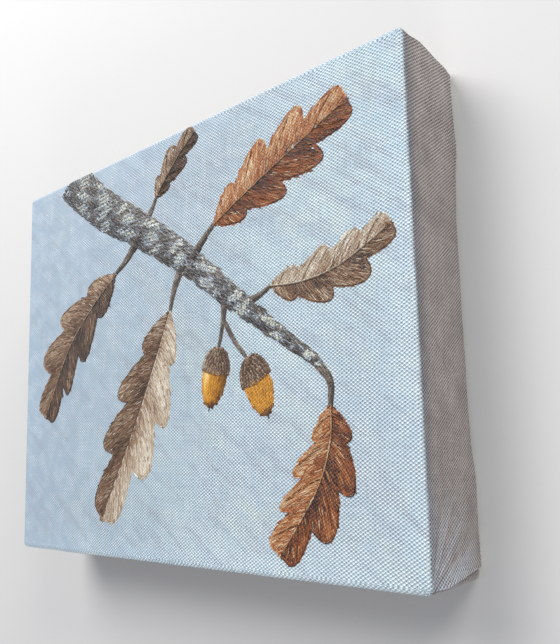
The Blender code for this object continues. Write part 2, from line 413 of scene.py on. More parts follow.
    def brushed_wall(self, add: Adder, flat: Node, place: Socket, level: Node) -> Node:
        """Add the warm grey of the walls, with a bluish painted shade band under the face's edge, smeared
        pale at one corner.

        Args:
            add: Adds a node to the material.
            flat: Place on the flat cloth.
            place: Object coordinates.
            level: Height over the table, unevenly.

        Returns:
            The colour.
        """
        streaks = add("TexNoise", {"Vector": flat, "Scale": 75.0, "Detail": 5.0, "Roughness": 0.65})
        grey = add("Mix", {0: add("MapRange", (streaks, 0.35, 0.68)), 6: linear(self.wall_dark),
                           7: linear(self.wall_light)}, data_type="RGBA")
        # Painted shade: a bluish band darkens the wall just under the face's rounded edge, fading out over
        # about 7 mm.
        past = add("Math", (level, FACE_Z - 1.7 * MM), operation="SUBTRACT")
        near = add("Math", (past,), operation="ABSOLUTE")
        edged = add("Mix", {0: add("MapRange", (near, 0.9 * MM, 7.0 * MM, 1.0, 0.0)), 6: grey,
                            7: linear(self.wall_edge_shade)}, data_type="RGBA", blend_type="MULTIPLY")
        offset = add("VectorMath", (place, (FACE_X, -FACE_Y, FACE_Z)), operation="SUBTRACT")
        distance = add("VectorMath", (offset,), operation="LENGTH")
        way = add("VectorMath", (offset,), operation="NORMALIZE")
        rays = add("TexNoise", {"Vector": way, "Scale": 7.0, "Detail": 4.0, "Roughness": 0.7})
        fades = add("MapRange", (distance, 8.0 * MM, 42.0 * MM, 0.85, 0.0))
        share = add("Math", (add("MapRange", (rays, 0.42, 0.62)), fades), operation="MULTIPLY")
        return add("Mix", {0: share, 6: edged, 7: linear(self.smear)}, data_type="RGBA")

    def worn_threads_and_edge_highlight(self, add: Adder, height: Node, place: Socket, parts: Node) -> Node:
        """Add the share of pale primer worn through on the thread tops, in patches and most along the face's
        edges, and of a painted highlight along the face's rounded edge.

        Args:
            add: Adds a node to the material.
            height: The weave's height.
            place: Object coordinates.
            parts: The node that splits them.

        Returns:
            The share.
        """
        top = add("MapRange", (height, 0.72, 0.90))
        patch = add("TexNoise", {"Vector": place, "Scale": 120.0, "Detail": 3.0})
        often = add("MapRange", (patch, 0.42, 0.62))
        reach = add("Math", (parts.outputs[2], FACE_Z - 0.5 * MM), operation="SUBTRACT")
        near = add("Math", (reach,), operation="ABSOLUTE")
        rim = add("MapRange", (near, 1.1 * MM, 0.35 * MM))
        faint = add("Math", (rim, 0.75, 0.06), operation="MULTIPLY_ADD")
        both = add("Math", (top, often), operation="MULTIPLY")
        share = add("Math", (both, faint), operation="MULTIPLY")
        # Painted highlight: a pale band along the face's rounded edge, on threads and hollows alike.
        return add("Math", (rim, 0.42, share), operation="MULTIPLY_ADD")


@dataclass(frozen=True)
class BareCotton(Finish):
    """Unbleached cotton duck, the cloth's inside: matt, warm and slightly flecked."""

    weave: Weave = field(default_factory=Weave)
    hollow_shade: str = "a5967a"
    thread: str = "d8ccb0"
    seed_fleck: str = "6f5a3c"

    def dress(self, add: Adder) -> dict[str, object]:
        """Show each thread, darker in the weave's hollows as painted shade, with seed flecks.

        Args:
            add: Adds a node to the material.

        Returns:
            What feeds each of the shader's sockets.
        """
        flat = add("UVMap", uv_map="weave")
        height = self.weave.height(add, flat)
        fleck = add("TexNoise", {"Vector": flat, "Scale": 700.0, "Detail": 4.0})
        rare = add("MapRange", (fleck, 0.66, 0.74, 0.0, 0.5))
        # Painted shade: the hollows between the threads take the darker colour.
        cloth = add("Mix", {0: height, 6: linear(self.hollow_shade), 7: linear(self.thread)}, data_type="RGBA")
        return {"Base Color": add("Mix", {0: rare, 6: cloth, 7: linear(self.seed_fleck)},
                                  data_type="RGBA"),
                "Roughness": 0.9, "Specular IOR Level": 0.25,
                "Normal": add("Bump", {"Height": height, "Distance": 0.28 * MM})}


@dataclass(frozen=True)
class OilPaint(Finish):
    """Artist's oil colour in short strokes: satin, with bristle lines, over the weave.

    A real bristle's line is about 0.1 mm wide. It is drawn 0.24 mm wide, so that it shows.
    """

    weave: Weave = field(default_factory=Weave)
    bristles_per_metre: float = 4200.0
    breaks_per_metre: float = 500.0

    def dress(self, add: Adder) -> dict[str, object]:
        """Take the colour from the strokes, streak it along each one, and darken it in the weave's hollows
        and lighten it on the tops as painted shade and highlight.

        Args:
            add: Adds a node to the material.

        Returns:
            What feeds each of the shader's sockets.
        """
        colour = add("Attribute", attribute_name="paint").outputs["Color"]
        along = add("UVMap", uv_map="bristle")
        stretch = (self.breaks_per_metre, self.bristles_per_metre, 1.0)
        long = add("VectorMath", (along, stretch), operation="MULTIPLY")
        hairs = add("TexNoise", {"Vector": long, "Scale": 1.0, "Detail": 2.0})
        height = self.weave.height(add, add("TexCoord").outputs["Object"])
        # The bristle streaks, then the painted shade and highlight of the weave under the paint.
        gains = (add("MapRange", (hairs, 0.25, 0.75, 0.82, 1.2)),
                 add("MapRange", (height, 0.0, 1.0, 0.80, 1.12)))
        both = add("Math", gains, operation="MULTIPLY")
        relief = add("Math", (hairs, 0.5, height), operation="MULTIPLY_ADD")
        return {"Base Color": add("VectorMath", {0: colour, "Scale": both}, operation="SCALE"),
                "Roughness": add("MapRange", (hairs, 0.3, 0.7, 0.36, 0.55)),
                "Normal": add("Bump", {"Height": relief, "Distance": 0.24 * MM})}


class Grain(Enum):
    """The axis that a piece of wood's grain runs along."""

    ALONG_X = (1.0, 14.0, 14.0)
    ALONG_Y = (14.0, 1.0, 14.0)


@dataclass(frozen=True)
class PlanedWood(Finish):
    """Planed softwood or beech: pale, with darker latewood lines and fine pores."""

    grain: Grain = Grain.ALONG_X
    early: str = "dcb883"
    late: str = "b07c43"
    ring: float = 3.2 * MM

    def dress(self, add: Adder) -> dict[str, object]:
        """Stretch rings and fibres along the grain.

        Args:
            add: Adds a node to the material.

        Returns:
            What feeds each of the shader's sockets.
        """
        place = add("TexCoord").outputs["Object"]
        long = add("VectorMath", (place, self.grain.value), operation="MULTIPLY")
        wander = add("TexNoise", {"Vector": long, "Scale": 4.0, "Detail": 3.0})
        rings = add("TexNoise", {"Vector": long, "Scale": 0.35 / (14 * self.ring), "Detail": 3.0,
                                 "Distortion": 0.6})
        band = add("MapRange", (rings, 0.42, 0.60))
        fibre = add("TexNoise", {"Vector": long, "Scale": 160.0, "Detail": 3.0})
        mixed = add("Math", (fibre, 0.35, band), operation="MULTIPLY_ADD")
        wood = add("Mix", {0: add("MapRange", (mixed, 0.1, 1.3)), 6: linear(self.early),
                           7: linear(self.late)}, data_type="RGBA")
        stain = add("MapRange", (wander, 0.3, 0.7, 0.9, 1.06))
        return {"Base Color": add("VectorMath", {0: wood, "Scale": stain}, operation="SCALE"),
                "Roughness": add("MapRange", (fibre, 0.0, 1.0, 0.5, 0.72)),
                "Normal": add("Bump", {"Height": mixed, "Distance": 0.12 * MM})}


@dataclass(frozen=True)
class GalvanisedWire(Finish):
    """Zinc-coated steel wire: grey, with a soft drawn shine."""

    dark: str = "85878a"
    light: str = "c6c8ca"

    def dress(self, add: Adder) -> dict[str, object]:
        """Mottle the zinc a little.

        Args:
            add: Adds a node to the material.

        Returns:
            What feeds each of the shader's sockets.
        """
        place = add("TexCoord").outputs["Object"]
        spangle = add("TexNoise", {"Vector": place, "Scale": 900.0, "Detail": 3.0})
        return {"Base Color": add("Mix", {0: spangle, 6: linear(self.dark), 7: linear(self.light)},
                                  data_type="RGBA"),
                "Roughness": add("MapRange", (spangle, 0.0, 1.0, 0.25, 0.48)), "Metallic": 1.0,
                "Normal": add("Bump", {"Height": spangle, "Distance": 0.03 * MM})}


@dataclass(frozen=True)
class PaleTable(Finish):
    """A plain pale table top: matt, with no pattern to speak of."""

    colour: str = "d2d0cd"

    def dress(self, add: Adder) -> dict[str, object]:
        """Return one plain colour."""
        return {"Base Color": linear(self.colour), "Roughness": 0.7}


# --------------------------------------------------------------------------
# The cloth
# --------------------------------------------------------------------------


class Stretch(Enum):
    """The stretches of cloth met on the way round a quarter of the walls."""

    PLAIN = auto()
    UNDER = auto()
    TURN = auto()
    HIDDEN = auto()
    LIP = auto()
    OUTER = auto()


@dataclass(frozen=True)
class Corner:
    """One folded corner: its quarter, where the fold's edge runs, and how far it lifts and swells."""

    sign_x: int
    sign_y: int
    edge_at_face: float
    edge_at_back: float
    lift: float
    swell: float


@dataclass(frozen=True)
class Column:
    """One line of vertices, from the face's edge down the wall and on to the back."""

    corner: Corner
    stretch: Stretch
    share: float
    rank: int


@dataclass(frozen=True)
class Section:
    """The cloth's section: face edge, wall, back edge and turnover."""

    depth: float
    face_radius: float = FACE_RADIUS
    back_radius: float = 1.9 * MM
    turnover: float = 15.0 * MM

    @property
    def face_arc(self) -> float:
        """Length of the rounded face edge."""
        return self.face_radius * math.pi / 2

    @property
    def back_start(self) -> float:
        """Distance along the cloth to the start of the rounded back edge."""
        return self.face_arc + self.depth - self.face_radius - self.back_radius

    @property
    def back_end(self) -> float:
        """Distance along the cloth to the end of the rounded back edge."""
        return self.back_start + self.back_radius * math.pi / 2

    @property
    def length(self) -> float:
        """Distance along the cloth to its raw edge."""
        return self.back_end + self.turnover - self.back_radius

    def at(self, run: float) -> tuple[float, float, float, float]:
        """Find a place on the section.

        Args:
            run: Distance along the cloth from the face's flat part.

        Returns:
            Distance in from the wall, distance below the face, and the outward and
            upward parts of the surface's normal.
        """
        if run < self.face_arc:
            turn = run / self.face_radius
            return (self.face_radius * (1 - math.sin(turn)), self.face_radius * (1 - math.cos(turn)),
                    math.sin(turn), math.cos(turn))
        if run < self.back_start:
            return 0.0, self.face_radius + run - self.face_arc, 1.0, 0.0
        if run < self.back_end:
            turn = (run - self.back_start) / self.back_radius
            return (self.back_radius * (1 - math.cos(turn)),
                    self.depth - self.back_radius * (1 - math.sin(turn)), math.cos(turn), -math.sin(turn))
        return self.back_radius + run - self.back_end, self.depth, 0.0, -1.0


@dataclass
class WrappedCloth:
    """The one sheet of cotton: face, walls, turnover and four folded corners."""

    half_x: float
    half_y: float
    top: float
    section: Section
    thickness: float = 0.45 * MM
    corner_radius: float = 2.6 * MM
    corner_radius_at_back: float = 2.1 * MM
    fold_overlap: float = 2.6 * MM
    layer_gap: float = 0.08 * MM
    outer_on_wall: float = 1.05 * MM
    outer_on_back: float = 0.75 * MM
    pile_on_back: float = 0.95 * MM
    fold_angle: float = math.radians(46)
    plain_columns: int = 30
    under_columns: int = 9
    turn_columns: int = 3
    hidden_columns: int = 4
    lip_columns: int = 7
    outer_columns: int = 52
    wall_rows: int = 24
    back_rows: int = 5
    turnover_rows: int = 7
    face_rows: int = 6
    pinch: float = 0.02 * MM
    corner_bulge: float = 0.25 * MM
    rim_on_back: float = 3.0 * MM
    wall_crowding: float = 1.10
    belly: float = 0.5 * MM
    wave: float = 0.12 * MM
    wave_rate_x: float = 150.0
    wave_rate_y: float = 185.0
    # Where a fold opens below the face, and how thin it is pinched above that.
    opens_from: float = 0.8 * MM
    opens_by: float = 16.0 * MM
    pinched_thickness: float = 0.08
    pinched_share: float = 0.3
    # How the columns crowd towards the fold.
    hidden_start: float = 0.15
    outer_crowding: float = 1.7
    # How the top layer rises to its edge, swells by its crease and sinks past it.
    lift_reach: float = 3.0 * MM
    swell_before: float = 3.0 * MM
    swell_reach: float = 15.0 * MM
    crease_before: float = 10.0 * MM
    crease_after: float = 4.0 * MM
    # The pleats that fan out from the face's corner.
    pleat_height: float = 0.32
    pleat_rate: float = 15.0
    pleat_middle: float = 16.0 * MM
    pleat_reach: float = 13.0 * MM
    # How the painted shade in a fold comes in below the face and fades at the fold's edge.
    shade_from: float = 1.0 * MM
    shade_by: float = 5.0 * MM
    shade_fade: float = 0.9 * MM
    full_lift: float = 0.5 * MM
    # Counter-clockwise from the bottom right.
    corners: tuple[Corner, ...] = (Corner(1, -1, 0.9 * MM, 5.0 * MM, 0.5 * MM, 0.4 * MM),
                                   Corner(1, 1, 1.6 * MM, 3.3 * MM, 0.15 * MM, 1.1 * MM),
                                   Corner(-1, 1, 0.6 * MM, 3.6 * MM, 0.3 * MM, 0.7 * MM),
                                   Corner(-1, -1, 0.5 * MM, 4.0 * MM, 0.4 * MM, 0.5 * MM))

    # -- where each column goes --------------------------------------------

    def quarter(self, corner: Corner) -> list[Column]:
        """List a quarter's columns, from the middle of the long wall to that of the short one.

        Args:
            corner: The folded corner between them.

        Returns:
            The columns in order.
        """
        stretches = ((Stretch.PLAIN, self.plain_columns + 1), (Stretch.UNDER, self.under_columns),
                     (Stretch.TURN, self.turn_columns), (Stretch.HIDDEN, self.hidden_columns),
                     (Stretch.LIP, self.lip_columns), (Stretch.OUTER, self.outer_columns + 1))
        found = []
        rank = 0
        for stretch, count in stretches:
            for index in range(count):
                share = (index + 1) / count if stretch is Stretch.UNDER else index / (count - 1)
                found.append(Column(corner, stretch, share, rank))
                rank += stretch in (Stretch.TURN, Stretch.HIDDEN, Stretch.LIP)
        return found

    def ring(self) -> list[Column]:
        """List every column once, counter-clockwise from the middle of the bottom wall.

        Returns:
            The columns in order.
        """
        found = []
        for corner in self.corners:
            part = self.quarter(corner)
            found += (part[::-1] if corner.sign_x == corner.sign_y else part)[:-1]
        return found

    def radius_at(self, drop: float) -> float:
        """Plan radius of the corners, a little tighter down the wall."""
        share = smooth_step(0.0, 0.5 * self.section.depth, drop)
        return blend(self.corner_radius, self.corner_radius_at_back, share)

    def edge_at(self, corner: Corner, drop: float) -> float:
        """Find how far the fold's edge is from the corner, round the outline.

        Args:
            corner: The folded corner.
            drop: Distance below the face.

        Returns:
            The distance.
        """
        share = drop / self.section.depth
        straight = blend(corner.edge_at_face, corner.edge_at_back, share)
        return straight - self.corner_radius * (1 - math.pi / 4) * (1 - share) * 0.5

    def opening(self, run: float) -> float:
        """How far the fold has opened, from 0 at the face to 1 a little way down."""
        return smooth_step(self.opens_from, self.opens_by, run)

    def over_back(self, run: float) -> float:
        """How far the cloth has turned over the back edge, from 0 just before it to 1."""
        return smooth_step(self.section.back_start - 1.0 * MM, self.section.back_end, run)

    def gap_at(self, corner: Corner, run: float) -> float:
        """How far the folded-back cloth stands off the cloth under it, at the fold's edge."""
        return self.layer_gap + 0.9 * corner.lift * (1 - self.over_back(run))

    def plan(self, corner: Corner, way: float, inset: float,
             radius: float) -> tuple[Vector, Vector]:
        """Find a place on the outline.

        Args:
            corner: The nearest corner.
            way: Distance round the outline from the middle of the corner, positive
                on to the left or right wall.
            inset: Distance in from the wall.
            radius: The corner's plan radius there.

        Returns:
            The place and the outward direction, both flat.
        """
        arc = radius * math.pi / 4
        turn = math.pi / 4 - min(max(way, -arc), arc) / radius
        outward = Vector((corner.sign_x * math.cos(turn), corner.sign_y * math.sin(turn), 0.0))
        centre = Vector((corner.sign_x * (self.half_x - radius), corner.sign_y * (self.half_y - radius), 0.0))
        place = centre + outward * (radius - inset)
        if way > arc:
            place.y -= corner.sign_y * (way - arc)
        if way < -arc:
            place.x -= corner.sign_x * (-way - arc)
        return place, outward

    def spread(self, column: Column, run: float) -> tuple[float, float]:
        """Find how far round and how far out a column is at one level.

        Args:
            column: The column.
            run: Distance along the cloth from the face's flat part.

        Returns:
            Distance round the outline from the corner's middle, and distance out
            from the cloth's lowest layer.
        """
        section = self.section
        drop = section.at(run)[1]
        radius = self.radius_at(drop)
        arc = radius * math.pi / 4
        edge = self.edge_at(column.corner, drop)
        opened = self.opening(run)
        overlap = opened * self.fold_overlap
        top = self.outer_level(column.corner, edge, run)
        gap = self.gap_at(column.corner, run)
        pinched = self.pinch * column.rank
        if column.stretch is Stretch.PLAIN:
            return -arc - (self.half_x - radius) * (1 - column.share), 0.0
        if column.stretch is Stretch.UNDER:
            way = blend(-arc, edge + overlap, column.share)
            shown = min((way + arc) / (edge + arc), 1.0)
            grown = smooth_step(2.0 * MM, 0.8 * section.depth, drop)
            return way, self.corner_bulge * grown * math.sin(math.pi * shown)
        closed = edge + (1 - opened) * pinched
        if column.stretch is Stretch.TURN:
            bend = math.pi * (column.share - 0.5)
            reach = overlap + opened * 0.5 * self.layer_gap * math.cos(bend)
            return closed + reach, opened * 0.5 * self.layer_gap * (1 + math.sin(bend))
        if column.stretch is Stretch.HIDDEN:
            share = blend(self.hidden_start, 1.0, column.share)
            return closed + overlap * (1 - share), opened * blend(self.layer_gap, gap, share)
        if column.stretch is Stretch.LIP:
            bend = math.pi * ((column.rank - self.turn_columns - self.hidden_columns + 1)
                              / (self.lip_columns + 1) - 0.5)
            half = 0.5 * (top - gap)
            return closed - opened * half * math.cos(bend), opened * (gap + half * (1 + math.sin(bend)))
        start = edge + (1 - opened) * self.pinch * (column.rank + 1)
        middle = arc + self.half_y - radius
        way = blend(start, middle, column.share ** self.outer_crowding)
        return way, opened * self.outer_level(column.corner, way, run)

    def outer_level(self, corner: Corner, way: float, run: float) -> float:
        """Find how far the top layer of a fold stands out.

        Args:
            corner: The folded corner.
            way: Distance round the outline from the corner's middle.
            run: Distance along the cloth from the face's flat part.

        Returns:
            The distance out, which is 0 where there is one layer only.
        """
        section = self.section
        drop = section.at(run)[1]
        edge = self.edge_at(corner, drop)
        crease = edge + drop * math.tan(self.fold_angle)
        inside = 1 - smooth_step(crease - self.crease_before, crease + self.crease_after, way)
        from_edge = (way - edge) / self.lift_reach
        lifted = corner.lift * math.exp(-max(from_edge, 0.0)) * (1 - self.over_back(run))
        pleats = self.pleats(corner, way, drop)
        near_crease = math.exp(-((way - crease + self.swell_before) / self.swell_reach) ** 2)
        swell = corner.swell * near_crease * drop / section.depth
        on_wall = self.outer_on_wall * inside + lifted + pleats + swell
        over_strip = 1 - smooth_step(section.turnover - 1.5 * MM, section.turnover + 2.0 * MM, way)
        on_back = self.outer_on_back * inside + self.pile_on_back * over_strip
        return blend(on_wall, on_back, smooth_step(section.back_start, section.back_end, run))

    def pleats(self, corner: Corner, way: float, drop: float) -> float:
        """Soft pulls in the cloth, fanning out from the face's corner.

        Args:
            corner: The folded corner.
            way: Distance round the outline from its middle.
            drop: Distance below the face.

        Returns:
            The height of the pull there.
        """
        reach = math.hypot(way, drop)
        angle = math.atan2(max(way, 0.0), max(drop, 0.01 * MM))
        fan = 0.5 + 0.5 * math.cos(angle * self.pleat_rate + 2.0 * corner.sign_y)
        fades = math.exp(-((reach - self.pleat_middle) / self.pleat_reach) ** 2)
        return self.pleat_height * corner.lift * fan * fades

    def point(self, column: Column, run: float) -> Vector:
        """Place one vertex of the cloth's outside.

        Args:
            column: Its column.
            run: Distance along the cloth from the face's flat part.

        Returns:
            The place in the object's frame.
        """
        inset, drop, out, up = self.section.at(run)
        radius = self.radius_at(drop)
        way, raised = self.spread(column, run)
        if abs(way) < radius * math.pi / 4 and column.stretch in (Stretch.UNDER, Stretch.TURN):
            inset = min(inset, radius - 0.1 * MM)
        place, outward = self.plan(column.corner, way, inset, radius)
        ripple = self.ripple(place, drop)
        belly = self.belly * smooth_step(0.0, 0.8 * self.section.depth, drop)
        place += outward * (out * (raised + ripple + belly))
        place.z = self.top - drop + up * (raised + ripple)
        return place

    def ripple(self, place: Vector, drop: float) -> float:
        """Add slight waves between the staples, growing towards the back of the walls.

        Args:
            place: A place on the walls.
            drop: Its distance below the face.

        Returns:
            How far the cloth stands out there, which is never over 0.
        """
        share = smooth_step(0.2 * self.section.depth, self.section.depth, drop)
        wave = math.sin(place.x * self.wave_rate_x + 1.0) * math.cos(place.y * self.wave_rate_y + 0.5)
        return -self.wave * share * (0.5 + 0.5 * wave)

    # -- building the mesh ---------------------------------------------------

    def rows(self) -> list[float]:
        """List the rows' distances along the cloth from the face's flat part.

        Returns:
            The distances in order.
        """
        section = self.section
        stops = ((0.0, section.face_arc, self.face_rows),
                 (section.face_arc, section.back_start, self.wall_rows),
                 (section.back_start, section.back_end, self.back_rows),
                 (section.back_end, section.length, self.turnover_rows))
        found = []
        for low, high, count in stops:
            found += [blend(low, high, (step + 1) / count) for step in range(count)]
        return found

    def build(self) -> bpy.types.Object:
        """Make the cloth as one closed piece.

        Returns:
            The object, with its flat coordinates in a UV map.
        """
        bm = bmesh.new()
        thin = bm.verts.layers.float.new("thin")
        # The painted shade in the folds, which the cloth's material darkens by.
        tucked = bm.verts.layers.float.new("tucked")
        lining = bm.verts.layers.float_vector.new("lining")
        flat = bm.loops.layers.uv.new("weave")
        ring = self.ring()
        loop = self.make_face(bm, ring)
        for face in bm.faces:
            for corner in face.loops:
                corner[flat].uv = corner.vert.co.xy
        for vert in bm.verts:
            vert[thin] = 1.0
        for vert, column in zip(loop, ring, strict=True):
            vert[thin] = self.thinness(column, 0.0)
        self.drop_walls(bm, ring, loop, flat, thin, tucked)
        inner = self.thicken(bm, thin, lining)
        bm.verts.layers.float.remove(bm.verts.layers.float["thin"])
        bm.verts.layers.float_vector.remove(bm.verts.layers.float_vector["lining"])
        self.put_in_order(bm)
        mesh = bpy.data.meshes.new("canvas_cloth")
        bm.to_mesh(mesh)
        bm.free()
        mesh.shade_smooth()
        LOG.info("cloth: %d faces, %d of them inside", len(mesh.polygons), inner)
        return add_object("canvas_cloth", mesh)

    def make_face(self, bm: bmesh.types.BMesh, ring: list[Column]) -> Verts:
        """Make the flat face as a grid whose border has one vertex for each column.

        Args:
            bm: The mesh to fill.
            ring: Every column, in order round the walls.

        Returns:
            The border's vertices, in the same order.
        """
        cells_x = 2 * self.plain_columns + 2
        cells_y = 2 * self.outer_columns + 2
        bmesh.ops.create_grid(bm, x_segments=cells_x, y_segments=cells_y, size=1.0)
        index = {(round((v.co.x + 1) * cells_x / 2), round((v.co.y + 1) * cells_y / 2)): v
                 for v in bm.verts}
        fold = self.under_columns + self.turn_columns + self.hidden_columns + self.lip_columns
        for x_end in (0, cells_x):
            for y_end in (0, cells_y):
                self.split_corner(index[(x_end, y_end)], fold - 1)
        loop = self.walk_border(index[(cells_x // 2, 0)])
        for vert, column in zip(loop, ring, strict=True):
            vert.co = self.point(column, 0.0)
        for (step_x, step_y), vert in index.items():
            if 0 < step_x < cells_x and 0 < step_y < cells_y:
                left, right = index[(0, step_y)].co, index[(cells_x, step_y)].co
                vert.co.x = index[(step_x, 0)].co.x
                vert.co.y = blend(left.y, right.y, step_x / cells_x)
                vert.co.z = self.top
        return loop

    def split_corner(self, vert: bmesh.types.BMVert, cuts: int) -> None:
        """Add the fold's vertices to one border edge at a corner of the grid.

        Args:
            vert: The grid's corner.
            cuts: How many vertices to add.
        """
        edge = next(e for e in vert.link_edges if abs(e.verts[0].co.x - e.verts[1].co.x) < 1e-6)
        for cut in range(cuts):
            edge, _added = bmesh.utils.edge_split(edge, vert, 1 / (cuts + 1 - cut))

    def walk_border(self, start: bmesh.types.BMVert) -> Verts:
        """Follow the border counter-clockwise.

        Args:
            start: The vertex in the middle of the bottom.

        Returns:
            The border's vertices in order.
        """
        found = [start]
        here = max((e.other_vert(start) for e in start.link_edges if e.is_boundary),
                   key=lambda v: v.co.x)
        while here is not start:
            found.append(here)
            ahead = [e.other_vert(here) for e in here.link_edges if e.is_boundary]
            here = next(v for v in ahead if v is not found[-2])
        return found

    def drop_walls(self, bm: bmesh.types.BMesh, ring: list[Column], loop: Verts, flat: Layer,
                   thin: Layer, tucked: Layer) -> None:
        """Extrude the border down the walls and on to the back, row by row.

        Args:
            bm: The mesh.
            ring: Every column.
            loop: The border's vertices.
            flat: The UV layer for the flat cloth.
            thin: The vertex layer for the share of the full thickness.
            tucked: The vertex layer for the painted shade in the folds.
        """
        last = 0.0
        count = len(ring)
        live = dict(enumerate(loop))
        for run in self.rows():
            keep = [self.reaches(ring[place], ring[(place + 1) % count], run) for place in range(count)]
            edges = {bm.edges.get((live[place], live[(place + 1) % count])): place
                     for place in range(count) if keep[place]}
            made = bmesh.ops.extrude_edge_only(bm, edges=list(edges))["geom"]
            fresh = {v for v in made if isinstance(v, bmesh.types.BMVert)}
            below = {place: next(e.other_vert(live[place]) for e in live[place].link_edges
                                 if e.other_vert(live[place]) in fresh)
                     for place in range(count) if keep[place] or keep[place - 1]}
            for place, vert in below.items():
                vert.co = self.point(ring[place], run)
                vert[thin] = self.thinness(ring[place], run)
                vert[tucked] = self.painted_fold_shade_at(ring[place], run)
            for edge, place in edges.items():
                corners = {live[place]: (place, last), live[(place + 1) % count]: (place + 1, last),
                           below[place]: (place, run), below[(place + 1) % count]: (place + 1, run)}
                side = self.on_side(ring[place], ring[(place + 1) % count])
                wall = next(f for f in edge.link_faces if below[place] in f.verts)
                for corner in wall.loops:
                    column, at = corners[corner.vert]
                    corner[flat].uv = self.flat_place(ring[column % count], at, side)
            live.update(below)
            last = run

    def thinness(self, column: Column, run: float) -> float:
        """Thin the cloth where the fold is pinched shut.

        Args:
            column: The column.
            run: Distance along the cloth from the face's flat part.

        Returns:
            The share of the full thickness.
        """
        past_fold = column.stretch is Stretch.OUTER and column.share > self.pinched_share
        if column.stretch is Stretch.PLAIN or past_fold:
            return 1.0
        return blend(self.pinched_thickness, 1.0, self.opening(run))

    def painted_fold_shade_at(self, column: Column, run: float) -> float:
        """Tell how much painted shade the fold puts on the cloth, from 0 in the open to 1.

        Args:
            column: The column.
            run: Distance along the cloth from the face's flat part.

        Returns:
            The share, which fades over a millimetre or two of the cloth under the fold's edge.
        """
        lifted = min(column.corner.lift / self.full_lift, 1.0)
        open_enough = smooth_step(self.shade_from, self.shade_by, run) * lifted
        if column.stretch in (Stretch.TURN, Stretch.HIDDEN):
            return open_enough
        if column.stretch is Stretch.LIP:
            return open_enough * (1 - min(2.0 * column.share, 1.0))
        if column.stretch is Stretch.UNDER:
            left = self.edge_at(column.corner, self.section.at(run)[1]) - self.spread(column, run)[0]
            return open_enough * math.exp(-max(left, 0.0) / self.shade_fade)
        return 0.0

    def reaches(self, one: Column, other: Column, run: float) -> bool:
        """Tell whether the cloth between two columns goes on as far as this."""
        trimmed = {one.stretch, other.stretch} & {Stretch.UNDER, Stretch.TURN}
        return not trimmed or run < self.section.back_end + self.rim_on_back - self.section.back_radius

    def on_side(self, one: Column, other: Column) -> bool:
        """Tell whether the cloth between two columns belongs to the left or right wall."""
        return {one.stretch, other.stretch} <= {Stretch.HIDDEN, Stretch.LIP, Stretch.OUTER}

    def flat_place(self, column: Column, run: float, side: bool) -> tuple[float, float]:
        """Find where a vertex lies on the flat cloth.

        Args:
            column: Its column.
            run: Its distance along the cloth from the face's flat part.
            side: Whether it is on the left or right wall's cloth.

        Returns:
            The flat place, in metres from the middle.
        """
        corner, section = column.corner, self.section
        radius = self.radius_at(section.at(run)[1])
        beyond = self.spread(column, run)[0] + radius * (1 - math.pi / 4)
        past = max(run - section.face_arc, 0.0) * self.wall_crowding
        run = min(run, section.face_arc) + past - section.face_radius
        x, y = (run, -beyond) if side else (beyond, run)
        return corner.sign_x * (self.half_x + x), corner.sign_y * (self.half_y + y)

    def thicken(self, bm: bmesh.types.BMesh, thin: Layer, lining: Layer) -> int:
        """Give the cloth its thickness inwards, with its raw edges closed.

        Args:
            bm: The mesh of the outside.
            thin: The vertex layer with each place's share of the full thickness.
            lining: The vertex layer to keep each place on the inside in.

        Returns:
            How many faces the inside has.
        """
        bmesh.ops.recalc_face_normals(bm, faces=bm.faces)
        upper = max(bm.faces, key=lambda f: f.calc_center_median().z)
        if upper.normal.z < 0:
            bmesh.ops.reverse_faces(bm, faces=bm.faces)
        bm.normal_update()
        for vert in bm.verts:
            vert[lining] = vert.co - vert.normal * (self.thickness * vert[thin])
        outside = set(bm.faces)
        known = set(bm.verts)
        bmesh.ops.solidify(bm, geom=list(bm.faces), thickness=self.thickness)
        for vert in bm.verts:
            if vert not in known:
                vert.co = vert[lining]
        inside = [f for f in bm.faces if f not in outside]
        for face in inside:
            face.material_index = 1
        bm.normal_update()
        return len(inside)

    def put_in_order(self, bm: bmesh.types.BMesh) -> None:
        """Number the vertices by place and the faces by vertices, as operators leave them in any order.

        Args:
            bm: The finished mesh.
        """
        for things, key in ((bm.verts, lambda v: v.co[:]),
                            (bm.faces, lambda f: sorted(v.index for v in f.verts))):
            for number, thing in enumerate(sorted(things, key=key)):
                thing.index = number
            things.sort()


# --------------------------------------------------------------------------
# The painting
# --------------------------------------------------------------------------


@dataclass(frozen=True)
class Ramp:
    """Mixed paints set out from dark to light."""

    codes: tuple[str, ...]

    def at(self, tones: np.ndarray) -> np.ndarray:
        """Mix the paint for each tone.

        Args:
            tones: Tones from 0, darkest, to 1, lightest.

        Returns:
            One linear colour for each.
        """
        stops = np.array([linear(code)[:3] for code in self.codes])
        spots = np.clip(tones, 0.0, 1.0) * (len(stops) - 1)
        return np.column_stack([np.interp(spots, range(len(stops)), part) for part in stops.T])


UMBER = Ramp(("1c1512", "3a2a1e", "5c4030", "7d5f48", "a08468", "cdb9a0"))
RUST = Ramp(("2a1710", "5a3018", "8a4a20", "a9673a", "c79a68", "e3cfae"))
BUFF = Ramp(("3a2a22", "6b4a33", "8a6a4e", "b09a82", "cdbfa9", "e9e2d4"))
OCHRE = Ramp(("3d2209", "7d4d12", "c98a1e", "e0a53a", "f0cf7c", "fbf0cd"))
LICHEN = Ramp(("4b4f52", "6c747c", "8c969f", "aab4bd", "cfd0b0", "e4e7e8"))
BARK = Ramp(("14141a", "2c2622", "4c4038", "6f6257", "93887c", "b5aea3"))


@dataclass(frozen=True)
class Brush:
    """A kind of stroke: its size, how thickly it stands, and how freely it is laid."""

    length: float
    width: float
    loaded: float
    sway: float = 0.12
    arch: float = 0.06


